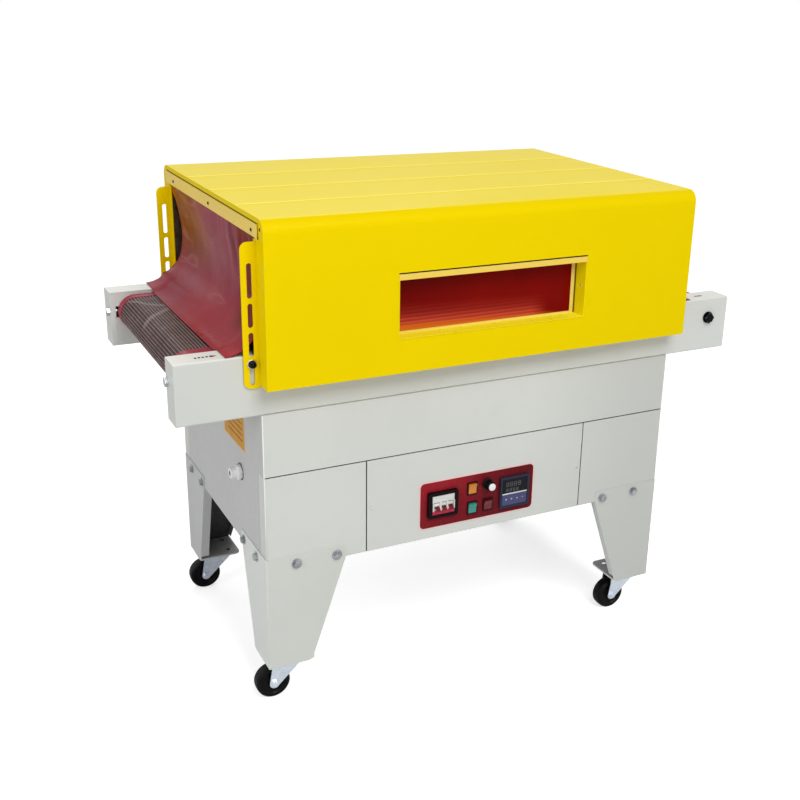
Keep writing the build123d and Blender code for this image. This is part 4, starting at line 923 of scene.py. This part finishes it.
def make_hood_end_holes():
    """A hole and a small notch near the front upper corner of each hood end, drawn as pieces of dark painted
    shade.
    """
    holes = Builder()
    for side in (-1, 1):
        lathe(holes, (side * (HOOD_END - 0.0001), -0.3315, 1.030), (side, 0, 0),
              [(0.0032, 0.0), (0.0030, 0.0006), (0.0, 0.0007)], segments=20)
        block(holes, (side * HOOD_END - 0.0014, -0.3235, 1.0105), (side * HOOD_END + 0.0014, -0.3195, 1.0150))
    holes.piece("hood_end_holes", painted_shade_dark, smooth=True, slot="black_steel")


def make_panel_screws():
    """Screws at the cabinet's panels, and one in each side of the window's frame."""
    screws = Builder()
    for x in (-0.256, 0.256):
        for face in (-1, 1):
            pan_screw(screws, (x, face * CABINET_FRONT, 0.422), (0, face, 0), 0.0033, turn=x)
    glass_low, glass_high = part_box("window_glass")
    frame_y, frame_z = -0.3339, 0.8625
    pan_screw(screws, (glass_high.x, frame_y, frame_z), (-1, 0, 0), 0.0026, turn=0.5)
    pan_screw(screws, (glass_low.x, frame_y, frame_z), (1, 0, 0), 0.0026, turn=0.9)
    screws.piece("panel_screws", zinc, smooth=True, slot="zinc_steel")


def make_hood_bolt_heads():
    """A washer and a domed head on each bolt that holds the hood at its height."""
    washers, domes = Builder(), Builder()
    bolt_r = 0.009
    bolt_x, bolt_z = -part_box("hood_bolts")[0].x - bolt_r, middle("hood_bolts").z
    washer = [(0.0098, -0.0014), (0.0098, 0.0004), (0.0092, 0.0008), (0.0066, 0.0008), (0.0066, 0.0)]
    dome = [(0.0068, -0.0035), (0.0068, 0.0), (0.0062, 0.0011), (0.0048, 0.0019),
            (0.0026, 0.0024), (0.0, 0.0025)]
    for face, side in CORNERS:
        lathe(washers, (side * bolt_x, face * 0.3080, bolt_z), (0, face, 0), washer, segments=40)
        lathe(domes, (side * bolt_x, face * 0.3125, bolt_z), (0, face, 0), dome, segments=40)
    washers.piece("hood_bolt_washers", washer_metal, smooth=True, slot="bare_steel")
    domes.piece("hood_bolt_heads", black_metal, smooth=True, slot="black_steel")


def make_clamp_gap_shadows():
    """A painted shadow over each curtain clamp: a dark strip in the gap under the hood's edge."""
    gaps = Builder()
    half = 0.0005
    for side in (-1, 1):
        middle_x = side * HOOD_END
        block(gaps, (middle_x - half, -CLAMP_REAR, CLAMP_TOP + 0.0006),
              (middle_x + half, CLAMP_REAR, CLAMP_TOP + 0.0019), 0.0001)
    gaps.piece("clamp_gap_shadows", painted_shade_dark, slot="black_steel")


def make_window_shadow_strip():
    """A painted shadow along the window frame's top: a dark strip in the gap there."""
    low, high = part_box("window_frame")
    inset = 0.0023
    shadow_strip = Builder()
    block(shadow_strip, (low.x + inset, low.y + 0.0006, high.z - 0.0017),
          (high.x - inset, low.y + 0.0050, high.z + 0.0027))
    shadow_strip.piece("window_top_shadow_strip", painted_shade_dark, slot="black_plastic")


def make_corner_highlights():
    """Painted highlights on the cabinet's corners: thin pale rods where the sheets' rounded folds catch the
    light.
    """
    highlight_rods = Builder()
    radius, height = 0.0010, 0.3400
    for face, side in CORNERS:
        spot = (side * (CABINET_END - 0.0004), face * (CABINET_FRONT - 0.0004), 0.3225)
        lathe(highlight_rods, spot, (0, 0, 1), [(0.0, 0.0), (radius, 0.0), (radius, height), (0.0, height)],
              segments=16)
    highlight_rods.piece("cabinet_corner_highlights", corner_highlight_cream, smooth=True, slot="cream_paint")


def make_mount_nuts():
    """Four nuts on washers over each caster's top plate."""
    nuts = Builder()
    washer = [(0.0078, 0.0), (0.0078, 0.0012), (0.0, 0.0012)]
    nut = [(0.0062, 0.0), (0.0062, 0.0040), (0.0054, 0.0046), (0.0, 0.0046)]
    offset = 0.027
    for face, side in CORNERS:
        for dx in (-offset, offset):
            for dy in (-offset, offset):
                x, y = side * CASTER_X + dx, face * CASTER_Y + dy
                lathe(nuts, (x, y, MOUNT_TOP - 0.0002), (0, 0, 1), washer, segments=28)
                lathe(nuts, (x, y, MOUNT_TOP + 0.0009), (0, 0, 1), nut, segments=6)
    nuts.piece("caster_mount_nuts", zinc, slot="zinc_steel")


def make_shaft_collar():
    """A black four-sided collar on the drive shaft's end."""
    collar = Builder()
    lathe(collar, (ROLLER_X, -0.3068, ROLLER_Z), (0, -1, 0),
          [(0.0138, 0.0), (0.0138, 0.0034), (0.0120, 0.0044), (0.0, 0.0044)], segments=4)
    collar.piece("drive_shaft_collar", black_metal, slot="black_steel")


def make_gland():
    """The gland's hexagon and collar, with its bore drawn as a disc of painted shade and the shadow line
    round its foot.
    """
    nut, dark = Builder(), Builder()
    hexagon = [(0.0168, 0.0), (0.0168, 0.0046), (0.0150, 0.0058), (0.0, 0.0058)]
    collar = [(0.0117, -0.004), (0.0117, 0.0040), (0.0112, 0.0049), (0.0098, 0.0049), (0.0098, 0.0020)]
    bore = [(0.0099, 0.0), (0.0, 0.0)]
    shadow = [(0.0178, 0.0), (0.0186, 0.0004), (0.0178, 0.0008), (0.0170, 0.0008)]
    for builder, depth, profile, segments in ((nut, 0.0201, hexagon, 6), (nut, 0.0050, collar, 36),
                                              (dark, 0.0014, bore, 28), (dark, 0.0238, shadow, 40)):
        lathe(builder, (GLAND_TIP + depth, GLAND_Y, GLAND_Z), (-1, 0, 0), profile, segments)
    nut.piece("gland_nut", grey, slot="grey_plastic")
    dark.piece("gland_shadow_ring", painted_shade_dark, smooth=True, slot="black_steel")


make_clamp_screws()
make_hood_end_holes()
make_panel_screws()
make_hood_bolt_heads()
make_clamp_gap_shadows()
make_window_shadow_strip()
make_corner_highlights()
make_mount_nuts()
make_shaft_collar()
make_gland()


def rounded_outline(middle_x, middle_z, half_x, half_z, radius, grow):
    """Points round a rounded rectangle, moved outwards by a distance."""
    points = []
    for corner_x, corner_z, start in ((1, 1, 0), (-1, 1, 90), (-1, -1, 180), (1, -1, 270)):
        centre_x = middle_x + corner_x * (half_x - radius)
        centre_z = middle_z + corner_z * (half_z - radius)
        for step in range(9):
            angle = math.radians(start + 90 * step / 8)
            points.append((centre_x + (radius + grow) * math.cos(angle),
                           centre_z + (radius + grow) * math.sin(angle)))
    return points


def make_plate_border():
    """A thin pale band round the control plate."""
    centre, half = middle("control_plate"), (PLATE_HIGH - PLATE_LOW) / 2
    width, radius = 0.0038, 0.010
    back, front = -CABINET_FRONT, -CABINET_FRONT - 0.0007
    inner = rounded_outline(centre.x, centre.z, half.x, half.z, radius, 0.0)
    outer = rounded_outline(centre.x, centre.z, half.x, half.z, radius, width)
    border = Builder()
    border.add_loops([[(x, y, z) for x, z in ring]
                      for y, ring in ((front, inner), (front, outer), (back, outer), (back, inner))])
    border.piece("plate_border", plate_border, slot="red_plate")


make_plate_border()


# Controls
def make_breaker():
    """Three levers on the toggle's drum, and pale dividers and a crimson band on the breaker's face."""
    axis_y, axis_z = -0.3095, BREAKER_Z
    droop = math.radians(35.0)
    levers = Builder()
    for pole in (-0.0160, 0.0, 0.0160):
        middle_x = BREAKER_X + pole
        flat = Builder()
        block(flat, (middle_x - 0.0049, -0.0150, -0.0021), (middle_x + 0.0049, -0.0030, 0.0021), 0.0007)
        blade = []
        # The lever droops and its thickness leans the other way, which leaves a thin blade
        for v in flat.verts:
            y = v.y * math.cos(droop) + v.z * math.sin(droop)
            z = v.y * math.sin(droop) + v.z * math.cos(droop)
            blade.append(Vector((v.x, axis_y + y, axis_z + z)))
        levers.add(blade, flat.faces)
    drum = Builder()
    lathe(drum, (BREAKER_X - 0.0230, axis_y, axis_z), (1, 0, 0),
          [(0.0, 0.0), (0.0036, 0.0), (0.0042, 0.0006), (0.0042, 0.0454), (0.0036, 0.0460), (0.0, 0.0460)],
          segments=24)
    drum.piece("breaker_drum", white, smooth=True, body="breaker_toggle", slot="white_plastic")
    toggle = levers.piece("breaker_levers", toggle_red_shaded, body="breaker_toggle", slot="toggle_red")
    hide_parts("breaker_toggle")
    back = BREAKER_FRONT + 0.001
    shell = Builder()
    for edge, half in ((-0.0250, 0.0013), (-0.0080, 0.0022), (0.0080, 0.0022), (0.0250, 0.0013)):
        middle_x = BREAKER_X + edge
        block(shell, (middle_x - half, BREAKER_FRONT - 0.0040, BREAKER_Z - 0.0125),
              (middle_x + half, back, BREAKER_Z + 0.0070), 0.0005)
    left, right = BREAKER_X - 0.0262, BREAKER_X + 0.0262
    block(shell, (left, BREAKER_FRONT - 0.0009, BREAKER_Z + 0.0060),
          (right, back, BREAKER_Z + 0.0215), 0.0005)
    shell.piece("breaker_dividers", white, slot="white_plastic")
    band = Builder()
    block(band, (left, BREAKER_FRONT - 0.0012, BREAKER_Z - 0.0220), (right, back, BREAKER_Z - 0.0125), 0.0005)
    band.piece("breaker_band", crimson, slot="toggle_red")


def make_knob_cap():
    """A pale domed cap in the knob's front, and ribs round its side."""
    cap = Builder()
    lathe(cap, (KNOB_X, KNOB_FRONT + 0.0003, KNOB_Z), (0, -1, 0),
          [(0.0082, -0.0016), (0.0084, 0.0), (0.0080, 0.0011), (0.0066, 0.0020), (0.0040, 0.0026),
           (0.0, 0.0028)], segments=48)
    cap.piece("knob_cap", cap_white, smooth=True, body="speed_knob", slot="white_plastic")
    ribs = Builder()
    count, ring_r = 30, 0.0104
    for step in range(count):
        angle = 2 * math.pi * step / count
        foot = (KNOB_X + ring_r * math.cos(angle), -0.3100, KNOB_Z + ring_r * math.sin(angle))
        lathe(ribs, foot, (0, -1, 0), [(0.0, 0.0), (0.0006, 0.0), (0.0005, 0.0120), (0.0, 0.0125)],
              segments=8)
    ribs.piece("knob_ribs", black, smooth=True, body="speed_knob", slot="black_plastic")


def add_digit(builder, x, z, width, height, back, front):
    """Three level bars and two upright ones, as an unlit digit shows them."""
    bar = 0.0007
    right, top = x + width / 2, z + height / 2
    left, bottom = x - width / 2, z - height / 2
    for level in (top, z, bottom):
        block(builder, (left, front, level - bar), (right, back, level + bar), 0.0001)
    for upright in (left, right):
        block(builder, (upright - bar, front, bottom), (upright + bar, back, top), 0.0001)


def make_controller():
    """Dark display with two rows of unlit digits, a silver line, and a key strip with four arrow marks."""
    face = -0.3090
    for name, half, depth, low, high, material, slot in (
        ("controller_display", 0.0312, 0.0007, -0.0015, 0.0312, display, "black_plastic"),
        ("controller_keys", 0.0312, 0.0006, -0.0312, -0.0052, key_blue, "black_plastic"),
        ("controller_line", 0.0315, 0.0010, -0.0048, -0.0020, silver_line, "grey_plastic"),
    ):
        strip = Builder()
        block(strip, (CONTROLLER_X - half, face - depth, CONTROLLER_Z + low),
              (CONTROLLER_X + half, face + 0.0006, CONTROLLER_Z + high))
        strip.piece(name, material, slot=slot)
    digits = Builder()
    first_x, gap = -0.0215, 0.0042
    for row_z, width, height in ((0.0190, 0.0058, 0.0092), (0.0056, 0.0044, 0.0068)):
        for index in range(4):
            x = CONTROLLER_X + first_x + index * (width + gap) + width / 2
            add_digit(digits, x, CONTROLLER_Z + row_z, width, height, back=face - 0.0003, front=face - 0.0010)
    digits.piece("controller_digits", digit_off, slot="grey_plastic")
    pale, warm = Builder(), Builder()
    shapes = {"left": ((-1, 0), (0.6, 0.8), (0.6, -0.8)), "down": ((0, -1), (0.8, 0.6), (-0.8, 0.6)),
              "up": ((0, 1), (-0.8, -0.6), (0.8, -0.6))}
    size, keys_z = 0.0024, CONTROLLER_Z - 0.0170
    for builder, offset, kind in ((pale, -0.0215, "left"), (pale, -0.0075, "down"), (pale, 0.0068, "up"),
                                  (warm, 0.0205, "left")):
        verts = [(CONTROLLER_X + offset + size * dx, y, keys_z + size * dz)
                 for y in (face - 0.0011, face - 0.0004) for dx, dz in shapes[kind]]
        builder.add(verts, [[0, 1, 2], [5, 4, 3], [0, 3, 4, 1], [1, 4, 5, 2], [2, 5, 3, 0]])
    pale.piece("controller_arrows", key_pale, slot="grey_plastic")
    warm.piece("controller_set_arrow", key_warm, slot="toggle_red")


make_breaker()
make_knob_cap()
make_controller()


# Printed marks and plates
def make_direction_marks():
    """Dashed running-direction arrows on the front beam's top, one at each end."""
    arrows, dashes = Builder(), Builder()
    top, bottom = BEAM_TOP + 0.0002, BEAM_TOP - 0.0002
    for start, count, step, length, tip_start, size in ((-0.603, 5, 0.0072, 0.0046, -0.5715, 0.0115),
                                                        (0.5735, 4, 0.0034, 0.0022, 0.5875, 0.009)):
        for index in range(count):
            x = start + index * step
            block(dashes, (x, -0.2782, bottom), (x + length, -0.2718, top), 0.0001)
        verts = []
        for z in (top, bottom):
            verts += [(tip_start, -0.2695, z), (tip_start + size, -0.2750, z), (tip_start, -0.2805, z)]
        arrows.add(verts, [[0, 2, 1], [3, 4, 5], [0, 1, 4, 3], [1, 2, 5, 4], [2, 0, 3, 5]])
    arrows.piece("direction_arrows", arrow_red, slot="toggle_red")
    dashes.piece("direction_dashes", arrow_dark, slot="black_plastic")


def make_end_plate():
    """An amber plate with plain stripes on the cabinet's left end."""
    plate, edge, stripes = Builder(), Builder(), Builder()
    low_y, high_y, low_z, high_z = -0.183, -0.048, 0.541, 0.636
    face, lip = -CABINET_END, 0.002
    block(edge, (face - 0.0006, low_y - lip, low_z - lip), (face + 0.0004, high_y + lip, high_z), 0.0002)
    block(plate, (face - 0.0009, low_y, low_z), (face + 0.0002, high_y, high_z), 0.0002)
    for index in range(6):
        z = low_z + 0.018 + index * 0.0125
        block(stripes, (face - 0.0011, low_y + 0.012, z), (face - 0.0003, high_y - 0.028, z + 0.0035), 0.0001)
    edge.piece("end_plate_edge", amber_edge, slot="yellow_paint")
    plate.piece("end_plate", amber, slot="yellow_paint")
    stripes.piece("end_plate_stripes", amber_dark, slot="yellow_paint")


make_direction_marks()
make_end_plate()


# Stage and light
def make_floor():
    """White floor that keeps a soft shadow and glows a little to the camera."""
    look = Shader("floor_look")
    rays = look.node("ShaderNodeLightPath").outputs
    seen = look.math("MAXIMUM", rays["Is Camera Ray"], rays["Is Transmission Ray"])
    look.set(color=(0.88, 0.88, 0.88), rough=0.9, spec=0.0)
    look.set(glow=(1.0, 1.0, 1.0), glow_strength=look.times(seen, 0.62))
    reach = 14
    corners = [(-reach, -reach, 0), (reach, -reach, 0), (reach, reach, 0), (-reach, reach, 0)]
    piece_from("floor", corners, [[0, 1, 2, 3]], look.material, body=None)


def make_studio():
    """Surroundings that are white to the camera, to gloss and through glass, and dimmer as a light."""
    world = bpy.data.worlds.new("studio")
    bpy.context.scene.world = world
    world.use_nodes = True
    sky = Tree(world.node_tree)
    background = world.node_tree.nodes["Background"]
    sky.feed(background.inputs["Color"], (1.0, 1.0, 1.0))
    rays = sky.node("ShaderNodeLightPath").outputs
    seen = sky.math("MAXIMUM", rays["Is Camera Ray"], rays["Is Transmission Ray"])
    seen = sky.math("MAXIMUM", seen, rays["Is Glossy Ray"])
    sky.feed(background.inputs["Strength"], sky.ramp(seen, 0.0, 1.0, 0.43, 1.0))


def softbox(name, spot, target, size, power):
    """A rectangular lamp that faces a target."""
    data = bpy.data.lights.new(name, "AREA")
    data.shape = "RECTANGLE"
    data.size, data.size_y = size
    data.energy = power
    lamp = bpy.data.objects.new(name, data)
    bpy.context.scene.collection.objects.link(lamp)
    aim = (Vector(target) - Vector(spot)).to_track_quat("-Z", "Y")
    lamp.matrix_world = Matrix.Translation(Vector(spot)) @ aim.to_matrix().to_4x4()


make_floor()
make_studio()
softbox("key", spot=(0.1, -3.4, 3.9), target=(0.0, -0.1, 0.6), size=(2.4, 2.0), power=116)
softbox("fill", spot=(-3.6, -1.2, 1.9), target=(-0.3, 0.0, 0.6), size=(2.0, 2.0), power=31)
softbox("rim", spot=(0.5, 3.0, 3.0), target=(0.0, 0.0, 0.7), size=(2.4, 1.6), power=30)

bpy.context.scene.view_settings.view_transform = "Standard"
